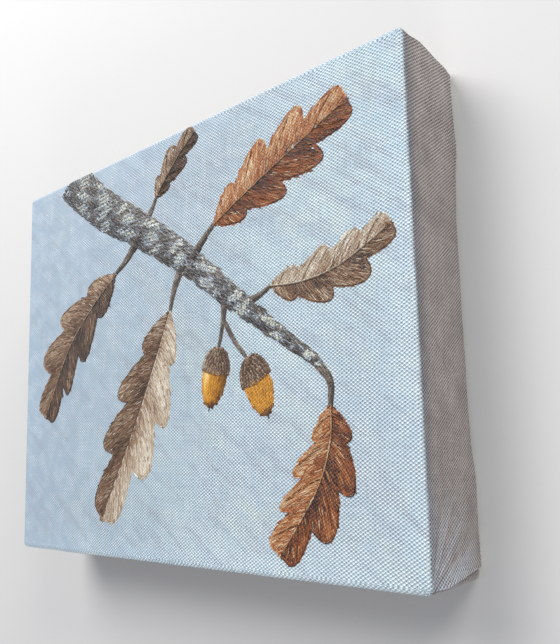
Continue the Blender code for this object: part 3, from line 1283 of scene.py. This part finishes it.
WASH = Brush(7.0 * MM, 2.4 * MM, 0.09 * MM, sway=0.18)
BODY = Brush(5.2 * MM, 1.2 * MM, 0.10 * MM)
FINE = Brush(5.0 * MM, 0.60 * MM, 0.12 * MM, sway=0.10)
DAB = Brush(3.0 * MM, 1.9 * MM, 0.16 * MM, sway=0.9)
LINE = Brush(4.2 * MM, 0.75 * MM, 0.14 * MM, sway=0.04, arch=0.01)
EDGE = Brush(5.0 * MM, 2.0 * MM, 0.10 * MM, sway=0.04, arch=0.01)
RIDGE = Brush(7.5 * MM, 0.95 * MM, 0.15 * MM, sway=0.10)
CRUST = Brush(1.8 * MM, 1.3 * MM, 0.2 * MM, sway=1.0)
SCALE = Brush(2.3 * MM, 1.7 * MM, 0.16 * MM, sway=0.2)
POINT = Brush(3.4 * MM, 1.1 * MM, 0.2 * MM)


@dataclass
class Strokes:
    """Brush strokes gathered for one piece, each a closed ridge of paint."""

    name: str
    seed: int
    parts: list[np.ndarray] = field(default_factory=list)
    sunk: float = 0.02 * MM
    taper: tuple[float, ...] = (0.5, 0.95, 1.0, 0.8, 0.2)

    def __post_init__(self) -> None:
        """Start the chance that varies the strokes."""
        self.rng = np.random.default_rng(self.seed)

    def lay(self, places: np.ndarray, angles: np.ndarray, brush: Brush, level: float, tints: np.ndarray,
            tails: np.ndarray | None = None, longest: np.ndarray | None = None) -> None:
        """Lay one stroke at each place.

        Args:
            places: Where each stroke's middle goes on the face.
            angles: The way each runs.
            brush: The kind of stroke.
            level: How far over the face the layer lies.
            tints: The colour at each stroke's start.
            tails: The colour at its end, if it picks up another.
            longest: The longest that each may be.
        """
        count = len(places)
        lengths = brush.length * self.rng.uniform(0.65, 1.25, count)
        if longest is not None:
            lengths = np.minimum(lengths, longest)
        self.parts.append(np.column_stack((
            places, angles + self.rng.normal(0.0, brush.sway, count), lengths,
            brush.width * self.rng.uniform(0.7, 1.2, count),
            brush.arch * self.rng.uniform(-1.0, 1.0, count),
            level + self.rng.uniform(0.0, 0.04 * MM, count),
            brush.loaded * self.rng.uniform(0.6, 1.3, count),
            tints, tints if tails is None else tails)))

    def ridge(self) -> tuple[np.ndarray, list[tuple[int, ...]]]:
        """Make one stroke's shape: a raised crown over a flat underside.

        Returns:
            The vertices, with the outline 2 by 2 and the crown 1 high, and the faces,
            the underside last.
        """
        bm = bmesh.new()
        bmesh.ops.create_grid(bm, x_segments=len(self.taper) - 1, y_segments=2, size=1.0)
        for vert in bm.verts:
            vert.co.z = 0.0 if vert.is_boundary else 1.0
        bmesh.ops.edgeloop_fill(bm, edges=[e for e in bm.edges if e.is_boundary])
        bmesh.ops.recalc_face_normals(bm, faces=bm.faces)
        bm.faces.sort(key=lambda f: len(f.verts))
        shape = np.array([vert.co for vert in bm.verts])
        faces = [tuple(vert.index for vert in face.verts) for face in bm.faces]
        bm.free()
        return shape, faces

    def drape(self, places: np.ndarray) -> None:
        """Bend the paint down over the face's rounded edges.

        Args:
            places: The vertices, changed in place.
        """
        for axis, half in ((0, FACE_X), (1, FACE_Y)):
            past = np.clip(np.abs(places[..., axis]) - half + FACE_RADIUS, 0.0, 0.96 * FACE_RADIUS)
            places[..., 2] -= FACE_RADIUS - np.sqrt(FACE_RADIUS ** 2 - past ** 2)
            places[..., axis] = np.clip(places[..., axis], -half, half)

    def build(self, finish: bpy.types.Material) -> bpy.types.Object:
        """Join the strokes into one piece.

        Args:
            finish: The paint.

        Returns:
            The object, coloured stroke by stroke.
        """
        shape, faces = self.ridge()
        rows = np.vstack(self.parts)
        along, across, raised = shape.T
        taper = np.interp(along, np.linspace(-1, 1, len(self.taper)), self.taper)
        length, width, arch, level, height = (rows[:, [part]] for part in (3, 4, 5, 6, 7))
        local_x = along * length / 2
        local_y = across * taper * width / 2 + arch * length * along ** 2
        cos, sin = np.cos(rows[:, [2]]), np.sin(rows[:, [2]])
        places = np.stack((rows[:, [0]] + local_x * cos - local_y * sin,
                           rows[:, [1]] + local_x * sin + local_y * cos,
                           FACE_Z - self.sunk + (self.sunk + level + height) * raised), axis=2)
        self.drape(places)
        count, size = len(rows), len(shape)
        mesh = bpy.data.meshes.new(self.name)
        mesh.from_pydata(places.reshape(-1, 3).tolist(), [],
                         [tuple(spot + size * stroke for spot in face)
                          for stroke in range(count) for face in faces])
        self.colour(mesh, rows, (along + 1) / 2)
        self.unwrap(mesh, rows, shape, faces)
        mesh.materials.append(finish)
        LOG.info("%s: %d strokes", self.name, count)
        return add_object(self.name, mesh)

    def colour(self, mesh: bpy.types.Mesh, rows: np.ndarray, share: np.ndarray) -> None:
        """Colour each stroke from its start to its end.

        Args:
            mesh: The joined mesh.
            rows: The strokes.
            share: How far along a stroke each of its vertices is.
        """
        tints, tails = rows[:, None, 8:11], rows[:, None, 11:14]
        mixed = tints + (tails - tints) * share[None, :, None]
        full = np.concatenate((mixed, np.ones((*mixed.shape[:2], 1))), axis=2)
        layer = mesh.color_attributes.new("paint", "FLOAT_COLOR", "POINT")
        layer.data.foreach_set("color", full.astype(np.float32).ravel())

    def unwrap(self, mesh: bpy.types.Mesh, rows: np.ndarray, shape: np.ndarray,
               faces: list[tuple[int, ...]]) -> None:
        """Give each stroke its bristle coordinates, and a cell of its own for baking.

        Args:
            mesh: The joined mesh.
            rows: The strokes.
            shape: One stroke's vertices.
            faces: One stroke's faces, the underside last.
        """
        spots = np.concatenate([np.array(face) for face in faces])
        under = np.arange(len(spots)) >= len(spots) - len(faces[-1])
        along, across = shape[spots, 0], shape[spots, 1]
        count = len(rows)
        start = self.rng.uniform(0.0, 0.4, (count, 2, 1))
        bristle = np.stack((start[:, 0] + along * rows[:, [3]] / 2,
                            start[:, 1] + across * rows[:, [4]] / 2), axis=2)
        # In each cell the underside takes a strip at the bottom, and the crown the rest.
        columns = math.ceil(math.sqrt(count / 3))
        lines = math.ceil(count / columns)
        cell_x, cell_y = np.arange(count) % columns, np.arange(count) // columns
        low = np.where(under, 0.04, 0.22)
        high = np.where(under, 0.14, 0.96)
        in_y = low + (high - low) * (across + 1) / 2
        bake = np.stack(((cell_x[:, None] + 0.5 + 0.46 * along) / columns,
                         (cell_y[:, None] + in_y) / lines), axis=2)
        for name, values in (("bristle", bristle), ("OFBake", bake)):
            layer = mesh.uv_layers.new(name=name)
            layer.data.foreach_set("uv", values.astype(np.float32).ravel())


def follow(stops: tuple[tuple[float, ...], ...], shares: np.ndarray) -> np.ndarray:
    """Follow a smooth curve through stops.

    Args:
        stops: The stops, in millimetres; anything after x and y is carried along.
        shares: How far along to read it, each 0 to 1.

    Returns:
        One row for each share, in metres.
    """
    knots = np.array(stops) * MM
    knots = np.vstack((2 * knots[0] - knots[1], knots, 2 * knots[-1] - knots[-2]))
    spans = len(knots) - 3
    spot = np.clip(shares, 0.0, 1.0) * spans
    first = np.minimum(spot.astype(int), spans - 1)
    part = (spot - first)[:, None]
    before, start, end, after = (knots[first + step] for step in range(4))
    return 0.5 * (2 * start + (end - before) * part + (2 * before - 5 * start + 4 * end - after) * part ** 2
                  + (3 * start - before - 3 * end + after) * part ** 3)


def heading(stops: tuple[tuple[float, ...], ...], shares: np.ndarray) -> np.ndarray:
    """Return the curve's direction at each share, as an angle."""
    ahead = follow(stops, shares + 0.01) - follow(stops, shares - 0.01)
    return np.arctan2(ahead[:, 1], ahead[:, 0])


def towards(angles: np.ndarray) -> np.ndarray:
    """Return a flat unit vector for each angle."""
    return np.column_stack((np.cos(angles), np.sin(angles)))


def smooth(values: np.ndarray, low: float, high: float) -> np.ndarray:
    """Return smooth_step() for an array of values."""
    shares = np.clip((values - low) / (high - low), 0.0, 1.0)
    return shares * shares * (3 - 2 * shares)


def scatter(count: int) -> tuple[np.ndarray, np.ndarray]:
    """Spread points evenly over a unit square, leaving no gaps.

    Args:
        count: How many points.

    Returns:
        Their two coordinates, each stepped by a power of the plastic number.
    """
    plastic = 1.32471795724
    steps = np.arange(1, count + 1)
    return (steps / plastic) % 1.0, (steps / plastic ** 2) % 1.0


# How much of its length times its width a stroke can be counted on to cover.
STROKE_FILL = 0.7


def cover_shape(line: np.ndarray, reach: np.ndarray, brush: Brush, cover: float,
                sides: int) -> tuple[np.ndarray, np.ndarray, np.ndarray]:
    """Spread strokes evenly over a shape that lies along a line.

    Args:
        line: Places along its middle, in even steps.
        reach: How far it reaches to either side of each.
        brush: The kind of stroke.
        cover: How many times over it is covered.
        sides: 2 if each side has strokes of its own, or 1.

    Returns:
        How far along the line each stroke is, and its place in an even spread.
    """
    span = np.linalg.norm(np.diff(line[:, :2], axis=0), axis=1).sum()
    down, over = scatter(int(cover * 2 * reach.mean() * span / (brush.length * brush.width * STROKE_FILL)))
    steps = np.linspace(0.0, 1.0, len(line))
    return np.interp(sides * down % 1.0, np.cumsum(reach) / reach.sum(), steps), down, over


@dataclass(frozen=True)
class Leaf:
    """One lobed oak leaf, painted along its veins."""

    rib: tuple[tuple[float, float], ...]
    width: float
    ramp: Ramp
    lit_side: int = 1
    lobes: int = 4
    deep: float = 0.5
    # Side veins in degrees from the rib: at the stalk, less by the tip, less at the margin.
    vein_angle: float = 72.0
    vein_closing: float = 40.0
    vein_bend: float = 12.0

    def reach(self, shares: np.ndarray) -> np.ndarray:
        """Measure the leaf along its side veins.

        Args:
            shares: How far along the rib the vein leaves it.

        Returns:
            The vein's length in metres.
        """
        body = np.sin(math.pi * np.clip(shares, 0.004, 0.996) ** 0.85) ** 0.65 * (0.55 + 0.6 * shares)
        lobe = np.abs(np.sin(math.pi * (self.lobes * shares + 0.1)))
        return self.width / 2 * body * (1 - self.deep + self.deep * lobe)

    def place(self, shares: np.ndarray, out: np.ndarray, side: np.ndarray) -> tuple[np.ndarray, np.ndarray]:
        """Find places on the leaf, and the way the side vein runs at each.

        Args:
            shares: How far along the rib the vein leaves it.
            out: How far along the vein, from 0 at the rib to 1 at the margin.
            side: 1 or -1.

        Returns:
            The places and the angles.
        """
        run = heading(self.rib, shares)
        angles = run + side * np.radians(self.vein_angle - self.vein_closing * shares - self.vein_bend * out)
        return follow(self.rib, shares) + towards(angles) * (out * self.reach(shares))[:, None], angles

    def tone(self, shares: np.ndarray, out: np.ndarray, side: np.ndarray) -> np.ndarray:
        """Shade the leaf: one half lit, puckered between the veins, dark by the rib.

        Args:
            shares: How far along the rib the vein leaves it.
            out: How far along the vein.
            side: 1 or -1.

        Returns:
            Tones from 0, darkest, to 1.
        """
        pucker = np.cos(2 * math.pi * (self.lobes * shares + 0.1)) * -0.10
        cloud = np.sin(shares * 9.0 + side * 2.0) * np.cos(out * 5.0 + shares * 4.0) * 0.10
        return (0.42 + 0.17 * side * self.lit_side + pucker + cloud + 0.10 * out
                - 0.22 * np.exp(-out / 0.10))

    def fill(self, strokes: Strokes, brush: Brush, cover: float, level: float, shift: float,
             spread: float) -> None:
        """Cover the leaf with strokes along its side veins.

        Args:
            strokes: Where the strokes go.
            brush: The kind of stroke.
            cover: How many times over the leaf is covered.
            level: How far over the face the layer lies.
            shift: How much lighter than its shading the layer is.
            spread: How much the strokes' tones vary.
        """
        rng = strokes.rng
        steps = np.linspace(0.0, 1.0, 200)
        shares, down, over = cover_shape(follow(self.rib, steps), self.reach(steps), brush, cover, 2)
        side = np.where(down < 0.5, -1.0, 1.0)
        room = self.reach(shares)
        longest = np.maximum(0.9 * room, 0.8 * MM)
        half = np.minimum(0.5 * brush.length, 0.45 * room) / room
        out = 0.5 * half + (1 - 1.3 * half) * over
        places, angles = self.place(shares, out, side)
        tones = self.tone(shares, out, side) + shift + rng.normal(0.0, spread, len(shares))
        strokes.lay(places, angles, brush, level, self.ramp.at(tones),
                    self.ramp.at(tones + rng.normal(0.0, 0.1, len(shares))), longest)

    def line(self, strokes: Strokes, places: np.ndarray, tints: np.ndarray, brush: Brush,
             level: float) -> None:
        """Draw a line of overlapping strokes through places.

        Args:
            strokes: Where the strokes go.
            places: The line's places in order.
            tints: The colour of each stroke, one fewer than the places.
            brush: The kind of stroke.
            level: How far over the face the layer lies.
        """
        step = np.diff(places, axis=0)
        lengths = np.linalg.norm(step, axis=1)
        strokes.lay((places[1:] + places[:-1]) / 2, np.arctan2(step[:, 1], step[:, 0]), brush, level,
                    tints, longest=lengths * 1.8)

    def outline(self, strokes: Strokes) -> None:
        """Sharpen the margin: pale where it is lit, dark where it is not.

        Args:
            strokes: Where the strokes go.
        """
        steps = np.linspace(0.03, 0.995, 64)
        for side in (-1.0, 1.0):
            sides = np.full(len(steps), side)
            places, _angles = self.place(steps, np.full(len(steps), 0.985), sides)
            inner, _angles = self.place(steps, np.full(len(steps), 0.93), sides)
            lit = 0.72 if side == self.lit_side else 0.10
            tones = lit + strokes.rng.normal(0.0, 0.15, len(steps) - 1)
            self.line(strokes, inner, self.ramp.at(0.3 + 0.4 * tones), EDGE, 0.04 * MM)
            self.line(strokes, places, self.ramp.at(tones), LINE, 0.16 * MM)

    def veins(self, strokes: Strokes) -> None:
        """Draw the rib and a side vein into each lobe, pale with a dark side.

        Args:
            strokes: Where the strokes go.
        """
        steps = np.linspace(0.0, 0.97, 26)
        rib = follow(self.rib, steps)
        shade = towards(heading(self.rib, steps) - self.lit_side * math.pi / 2) * 0.6 * MM
        tones = 0.86 + strokes.rng.normal(0.0, 0.07, len(steps) - 1)
        self.line(strokes, rib + shade, self.ramp.at(tones * 0.1), LINE, 0.17 * MM)
        self.line(strokes, rib, self.ramp.at(tones), LINE, 0.22 * MM)
        for lobe in range(self.lobes):
            start = (lobe + 0.34) / self.lobes
            out = np.linspace(0.0, 0.86, 7)
            for side in (-1.0, 1.0):
                sides = np.full(len(out), side)
                places, angles = self.place(np.full(len(out), start), out, sides)
                pale = 0.80 if side == self.lit_side else 0.66
                tones = pale - 0.3 * out[1:] + strokes.rng.normal(0.0, 0.06, len(out) - 1)
                below = towards(angles - side * math.pi / 2) * 0.45 * MM
                self.line(strokes, places + below, self.ramp.at(tones * 0.25), FINE, 0.17 * MM)
                self.line(strokes, places, self.ramp.at(tones), FINE, 0.21 * MM)

    def paint(self, strokes: Strokes) -> None:
        """Paint the leaf from its undercoat to its veins.

        Args:
            strokes: Where the strokes go.
        """
        self.fill(strokes, WASH, 4.8, 0.0, -0.12, 0.08)
        self.fill(strokes, BODY, 1.8, 0.05 * MM, 0.0, 0.13)
        self.outline(strokes)
        self.fill(strokes, FINE, 0.65, 0.10 * MM, 0.10, 0.24)
        self.veins(strokes)


# A bough that starts thinner than this is a twig, in millimetres.
THIN = 5
# The patches that strokes can be kept to run from -1 to 1, so all lie over this.
EVERYWHERE = -2.0


@dataclass(frozen=True)
class Bough:
    """A length of branch or twig, painted in dabs across and lines along."""

    stops: tuple[tuple[float, float, float], ...]
    ramp: Ramp = BARK

    def place(self, shares: np.ndarray, across: np.ndarray) -> tuple[np.ndarray, np.ndarray, np.ndarray]:
        """Find places on the bough.

        Args:
            shares: How far along it.
            across: From -1 on its right side to 1 on its left.

        Returns:
            The places, the bough's headings there and how squarely each faces the light.
        """
        spots = follow(self.stops, shares)
        run = heading(self.stops, shares)
        sideways = towards(run + math.pi / 2)
        facing = across * np.cos(run + math.pi / 2 - PAINTED_LIGHT)
        return spots[:, :2] + sideways * (across * spots[:, 2])[:, None], run, facing

    def fill(self, strokes: Strokes, brush: Brush, cover: float, level: float, ramp: Ramp,
             shift: float, along: float = 1.0, patchy: float = EVERYWHERE) -> None:
        """Cover the bough with strokes.

        Args:
            strokes: Where the strokes go.
            brush: The kind of stroke.
            cover: How many times over it is covered.
            level: How far over the face the layer lies.
            ramp: The paints.
            shift: How much lighter than its shading the layer is.
            along: 1 for strokes that run along it, 0 for strokes across.
            patchy: Strokes go only where the patches stand over this.
        """
        rng = strokes.rng
        line = follow(self.stops, np.linspace(0.0, 1.0, 100))
        shares, _down, over = cover_shape(line, line[:, 2], brush, cover, 1)
        count = len(shares)
        radius = follow(self.stops, shares)[:, 2]
        room = 1 - 0.45 * np.minimum(brush.length * (1 - along) + brush.width, radius) / radius
        across = (2 * over - 1) * room
        places, run, facing = self.place(shares, across)
        patch = np.sin(places[:, 0] * 330 + 3 * np.sin(places[:, 1] * 210)) * np.cos(places[:, 1] * 420)
        tones = 0.46 + 0.36 * facing + 0.12 * patch + shift + rng.normal(0.0, 0.12, count)
        angles = run + (1 - along) * (math.pi / 2 + rng.normal(0.0, 0.5, count))
        laid = patch + rng.normal(0.0, 0.15, count) > patchy
        strokes.lay(places[laid], angles[laid], brush, level, ramp.at(tones[laid]),
                    ramp.at(tones[laid] + 0.08), np.maximum(1.6 * radius[laid], 1.0 * MM))

    def paint(self, strokes: Strokes) -> None:
        """Paint the bough from its dark edges to its lit crusts.

        Args:
            strokes: Where the strokes go.
        """
        coats = ((WASH, 2.6, 0.0, BARK, -0.12), (RIDGE, 1.7, 0.05 * MM, BARK, 0.14),
                 (RIDGE, 1.1, 0.08 * MM, self.ramp, -0.16), (DAB, 1.6, 0.12 * MM, self.ramp, 0.0, 0.3, 0.1),
                 (FINE, 0.7, 0.18 * MM, BARK, -0.26), (CRUST, 0.8, 0.22 * MM, self.ramp, 0.26, 0.3, 0.35))
        if self.stops[0][2] < THIN:
            coats = ((LINE, 7.0, 0.0, BARK, -0.05), (FINE, 3.0, 0.06 * MM, BARK, 0.12))
        for coat in coats:
            self.fill(strokes, *coat)


@dataclass(frozen=True)
class Acorn:
    """One acorn: a shining nut in a scaly cup."""

    place: tuple[float, float]
    heading: float
    length: float = 25 * MM
    width: float = 15 * MM
    # Shares of the length from the stalk: the cup's rim and depth, where the nut's strokes
    # start and how far they go, and where it is widest and how far it tapers from there.
    rim: float = 0.33
    cup_depth: float = 0.41
    nut_start: float = 0.36
    nut_reach: float = 0.61
    widest: float = 0.42
    taper: float = 0.56
    cup_spread: float = 0.55

    @property
    def turn(self) -> float:
        """The way that the acorn points, in radians."""
        return math.radians(self.heading)

    def spots(self, along: np.ndarray, across: np.ndarray) -> np.ndarray:
        """Return the places this far along the acorn from its stalk, and out to its left."""
        ahead, left = towards(np.array([self.turn, self.turn + math.pi / 2]))
        return np.array(self.place) * MM + ahead * along[:, None] + left * across[:, None]

    def facing(self, across: np.ndarray) -> np.ndarray:
        """Return how squarely it faces the light, from -1 on its right side to 1 on its left."""
        return across * math.cos(self.turn + math.pi / 2 - PAINTED_LIGHT)

    def nut(self, strokes: Strokes, brush: Brush, count: int, level: float, shift: float) -> None:
        """Lay strokes along the nut, round its curve.

        Args:
            strokes: Where the strokes go.
            brush: The kind of stroke.
            count: How many strokes.
            level: How far over the face the layer lies.
            shift: How much lighter than its shading the layer is.
        """
        down, over = scatter(count)
        along = self.nut_start + self.nut_reach * down
        across = 2 * over - 1
        rounded = np.clip(1 - ((along - self.widest) / self.taper) ** 2, 0.02, 1.0)
        bulge = np.sqrt(rounded) * (self.width / 2 - 0.5 * MM)
        lean = -across * (along - self.widest) * 1.5
        facing = self.facing(across)
        gleam = np.exp(-((facing - 0.42) / 0.16) ** 2 - ((along - 0.45) / 0.22) ** 2)
        tones = 0.40 + 0.24 * facing - 0.22 * facing ** 2 + 0.42 * gleam + shift
        tones = tones - 0.25 * smooth(along, 0.84, 0.95) + strokes.rng.normal(0.0, 0.07, count)
        strokes.lay(self.spots(along * self.length, across * bulge), self.turn + lean, brush, level,
                    OCHRE.at(tones), OCHRE.at(tones - 0.04), (4.2 - 2.2 * smooth(along, 0.6, 0.9)) * MM)

    def dome(self, along: np.ndarray) -> np.ndarray:
        """Return half the cup's width at places along the acorn, from its stalk to its rim."""
        rounded = np.clip(1 - ((self.rim - along) / self.cup_depth) ** 2, 0.0, 1.0)
        return np.sqrt(rounded) * self.width * self.cup_spread

    def on_cup(self, along: np.ndarray, across: np.ndarray) -> tuple[np.ndarray, np.ndarray, np.ndarray]:
        """Find places on the cup, whose rows sag towards the nut in the middle.

        Args:
            along: How far along the acorn, as a share of its length.
            across: From -1 on its right side to 1 on its left.

        Returns:
            The places, the headings and how squarely each faces the light.
        """
        wide = self.dome(along)
        sag = 0.16 * wide * (1 - across ** 2)
        angles = self.turn + (0.5 + 2.2 * (self.rim - along)) * across
        return self.spots(along * self.length + sag, across * wide), angles, self.facing(across)

    def cup(self, strokes: Strokes) -> None:
        """Lay the cup's shadow on the nut, a dark ground, and scales row by row.

        Args:
            strokes: Where the strokes go.
        """
        down, over = scatter(90)
        spots, angles, facing = self.on_cup(self.rim - 0.36 * down, (2 * over - 1) * 0.86)
        strokes.lay(spots, angles, WASH, 0.11 * MM, UMBER.at(0.30 + 0.2 * facing), None,
                    np.full(len(spots), 3.0 * MM))
        across = np.linspace(-0.92, 0.92, 12)
        spots, angles, facing = self.on_cup(np.full(12, self.rim + 0.03), across)
        strokes.lay(spots, angles + math.pi / 2, BODY, 0.15 * MM, OCHRE.at(0.10 + 0.05 * facing), None,
                    np.full(12, 2.4 * MM))
        for row in range(11):
            across = np.linspace(-0.95, 0.95, 12 - row % 2 - row // 2 - row // 5)
            spots, angles, facing = self.on_cup(np.full(len(across), self.rim - 0.039 * row), across)
            tones = 0.50 + 0.30 * facing + strokes.rng.normal(0.0, 0.10, len(across))
            strokes.lay(spots, angles, SCALE, (0.18 + 0.03 * row) * MM, BUFF.at(tones),
                        BUFF.at(tones - 0.45))

    def paint(self, strokes: Strokes) -> None:
        """Paint the nut, its point and its cup.

        Args:
            strokes: Where the strokes go.
        """
        self.nut(strokes, WASH, 90, 0.0, -0.12)
        self.nut(strokes, BODY, 190, 0.05 * MM, 0.0)
        self.nut(strokes, FINE, 200, 0.10 * MM, 0.04)
        tip = self.spots(np.array([self.length]), np.zeros(1))
        strokes.lay(tip, np.array([self.turn]), POINT, 0.16 * MM, UMBER.at(np.array([0.1])))
        self.cup(strokes)


@dataclass(frozen=True)
class OakTwig:
    """The picture: a lichened bough with autumn leaves and acorns, on a plain pale ground."""

    boughs: tuple[Bough, ...] = (
        Bough(((-24, 55, 3.4), (-33, 46, 2.2), (-42, 40, 1.4))),
        Bough(((8, 36, 3.0), (2, 24, 2.0), (-1, 14, 1.3))),
        Bough(((14, 36, 3.0), (22, 44, 2.0), (28, 49, 1.3))),
        Bough(((44, 9, 2.6), (54, 12, 1.6), (60, 15, 1.1))),
        Bough(((-20, 60, 3.0), (-14, 67, 1.8), (-11, 72, 1.2))),
        Bough(((34, 15, 2.4), (33, 4, 1.5), (30, -8, 1.2))),
        Bough(((33, 5, 1.5), (40, -6, 1.3), (47, -14, 1.1))),
        Bough(((82, -19, 2.2), (88, -27, 1.8), (88, -36, 1.4))),
        Bough(((-82, 101, 12.0), (-54, 78, 11.0), (-22, 58, 9.4), (8, 38, 7.6), (36, 16, 5.8), (62, -4, 3.9),
               (84, -20, 2.4)), LICHEN),
    )
    leaves: tuple[Leaf, ...] = (
        Leaf(((-11, 72), (-6, 78), (4, 88), (16, 97)), 30 * MM, UMBER, 1, 3),
        Leaf(((-42, 40), (-64, 24), (-84, 4), (-104, -30)), 66 * MM, UMBER, -1),
        Leaf(((-1, 14), (-12, -10), (-26, -38), (-52, -84)), 76 * MM, BUFF, 1),
        Leaf(((28, 49), (46, 58), (68, 68), (100, 82)), 60 * MM, RUST, 1),
        Leaf(((60, 15), (76, 14), (94, 17), (117, 28)), 42 * MM, BUFF, 1),
        Leaf(((88, -36), (87, -50), (80, -68), (62, -93)), 54 * MM, RUST, -1),
    )
    acorns: tuple[Acorn, ...] = (Acorn((30, -9), -104.0), Acorn((48, -15), -68.0))

    def build(self) -> list[bpy.types.Object]:
        """Paint the picture.

        Returns:
            A piece for the boughs, one for each leaf and one for the acorns.
        """
        paint = OilPaint("oil_paint_strokes").make()
        pieces = []
        leaves = [(f"painted_leaf_{number}", 22 + number, (leaf,))
                  for number, leaf in enumerate(self.leaves, start=1)]
        for name, seed, things in (("painted_bough", 11, self.boughs), *leaves,
                                   ("painted_acorns", 37, self.acorns)):
            strokes = Strokes(name, seed)
            for thing in things:
                thing.paint(strokes)
            pieces.append(strokes.build(paint))
        return pieces


# --------------------------------------------------------------------------
# Studio
# --------------------------------------------------------------------------


@dataclass
class Studio:
    """Camera, table and soft lights."""

    eye: Vector = field(default_factory=lambda: Vector((0.2275, -0.0540, 0.2460)))
    aim: Vector = field(default_factory=lambda: Vector((0.0624, -0.0196, 0.0416)))
    roll: float = math.radians(1.45)
    lens: float = 36.8
    shift_x: float = 0.005
    shift_y: float = 0.072
    table_size: float = 12.0

    def build(self) -> None:
        """Set up everything that isn't part of the object."""
        self.add_camera()
        self.add_table()
        self.add_lights()

    def add_camera(self) -> None:
        """Place the camera, with its roll measured from the face's height."""
        forward = (self.aim - self.eye).normalized()
        right = forward.cross(Vector((0.0, 1.0, 0.0))).normalized()
        up = right.cross(forward)
        turned = Matrix((right, up, -forward)).transposed()
        camera = bpy.data.cameras.new("camera")
        camera.lens, camera.shift_x, camera.shift_y = self.lens, self.shift_x, self.shift_y
        camera.clip_start = 0.01
        holder = add_object("camera", camera)
        roll = Matrix.Rotation(-self.roll, 4, "Z")
        holder.matrix_world = Matrix.Translation(self.eye) @ turned.to_4x4() @ roll
        bpy.context.scene.camera = holder

    def add_table(self) -> None:
        """Add the plain table under the object."""
        bm = bmesh.new()
        bmesh.ops.create_grid(bm, x_segments=2, y_segments=2, size=self.table_size / 2)
        mesh = bpy.data.meshes.new("table")
        bm.to_mesh(mesh)
        bm.free()
        mesh.materials.append(PaleTable("matt_table").make())
        add_object("table", mesh)

    def add_lights(self) -> None:
        """Add two large window-like lights beyond the top edge, a fill, and a dim surround."""
        for name, place, size, power in (("window", (-0.42, 0.78, 1.0), 0.8, 16.0),
                                         ("side_window", (1.0, 1.25, 0.65), 0.7, 16.0),
                                         ("low_fill", (0.38, -1.2, 0.36), 0.55, 5.5)):
            light = bpy.data.lights.new(name, "AREA")
            light.size, light.energy = size, power
            holder = add_object(name, light)
            holder.location = place
            holder.rotation_euler = (-Vector(place)).to_track_quat("-Z", "Y").to_euler()
        bpy.context.scene.view_settings.view_transform = "Standard"
        world = bpy.data.worlds.new("surround")
        world.use_nodes = True
        background = world.node_tree.nodes["Background"].inputs
        background["Color"].default_value = linear("dfe6f2")
        background["Strength"].default_value = 0.46
        bpy.context.scene.world = world


def dress_frame() -> None:
    """Give the bars, keys and staples their real finishes."""
    wood = {}
    for grain in Grain:
        axis = grain.name[-1].lower()
        wood["bar", grain] = PlanedWood(f"planed_pine_{axis}", grain).make()
        wood["key", grain] = PlanedWood(f"sawn_beech_{axis}", grain, "c99b6b", "a8764a", 1.4 * MM).make()
    wire = GalvanisedWire("galvanised_wire").make()
    for name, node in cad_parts.items():
        kind = name.split("_")[0]
        grain = Grain.ALONG_X if "bottom" in name or "top" in name else Grain.ALONG_Y
        if kind != "canvas":
            for slot in node.material_slots:
                slot.material = wood.get((kind, grain), wire)


def main() -> None:
    """Build every piece and report it."""
    logging.basicConfig(level=logging.INFO, format="%(message)s")
    Studio().build()
    cloth = WrappedCloth(FACE_X, FACE_Y, FACE_Z, Section(FACE_Z - BACK_Z))
    canvas = cloth.build()
    for finish in (PaintedCotton("painted_cotton_duck"), BareCotton("bare_cotton_duck")):
        canvas.data.materials.append(finish.make())
    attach(canvas, "root")
    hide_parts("canvas")
    picture = OakTwig().build()
    for piece in picture:
        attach(piece, "root")
    dress_frame()


if __name__ == "__main__":
    main()
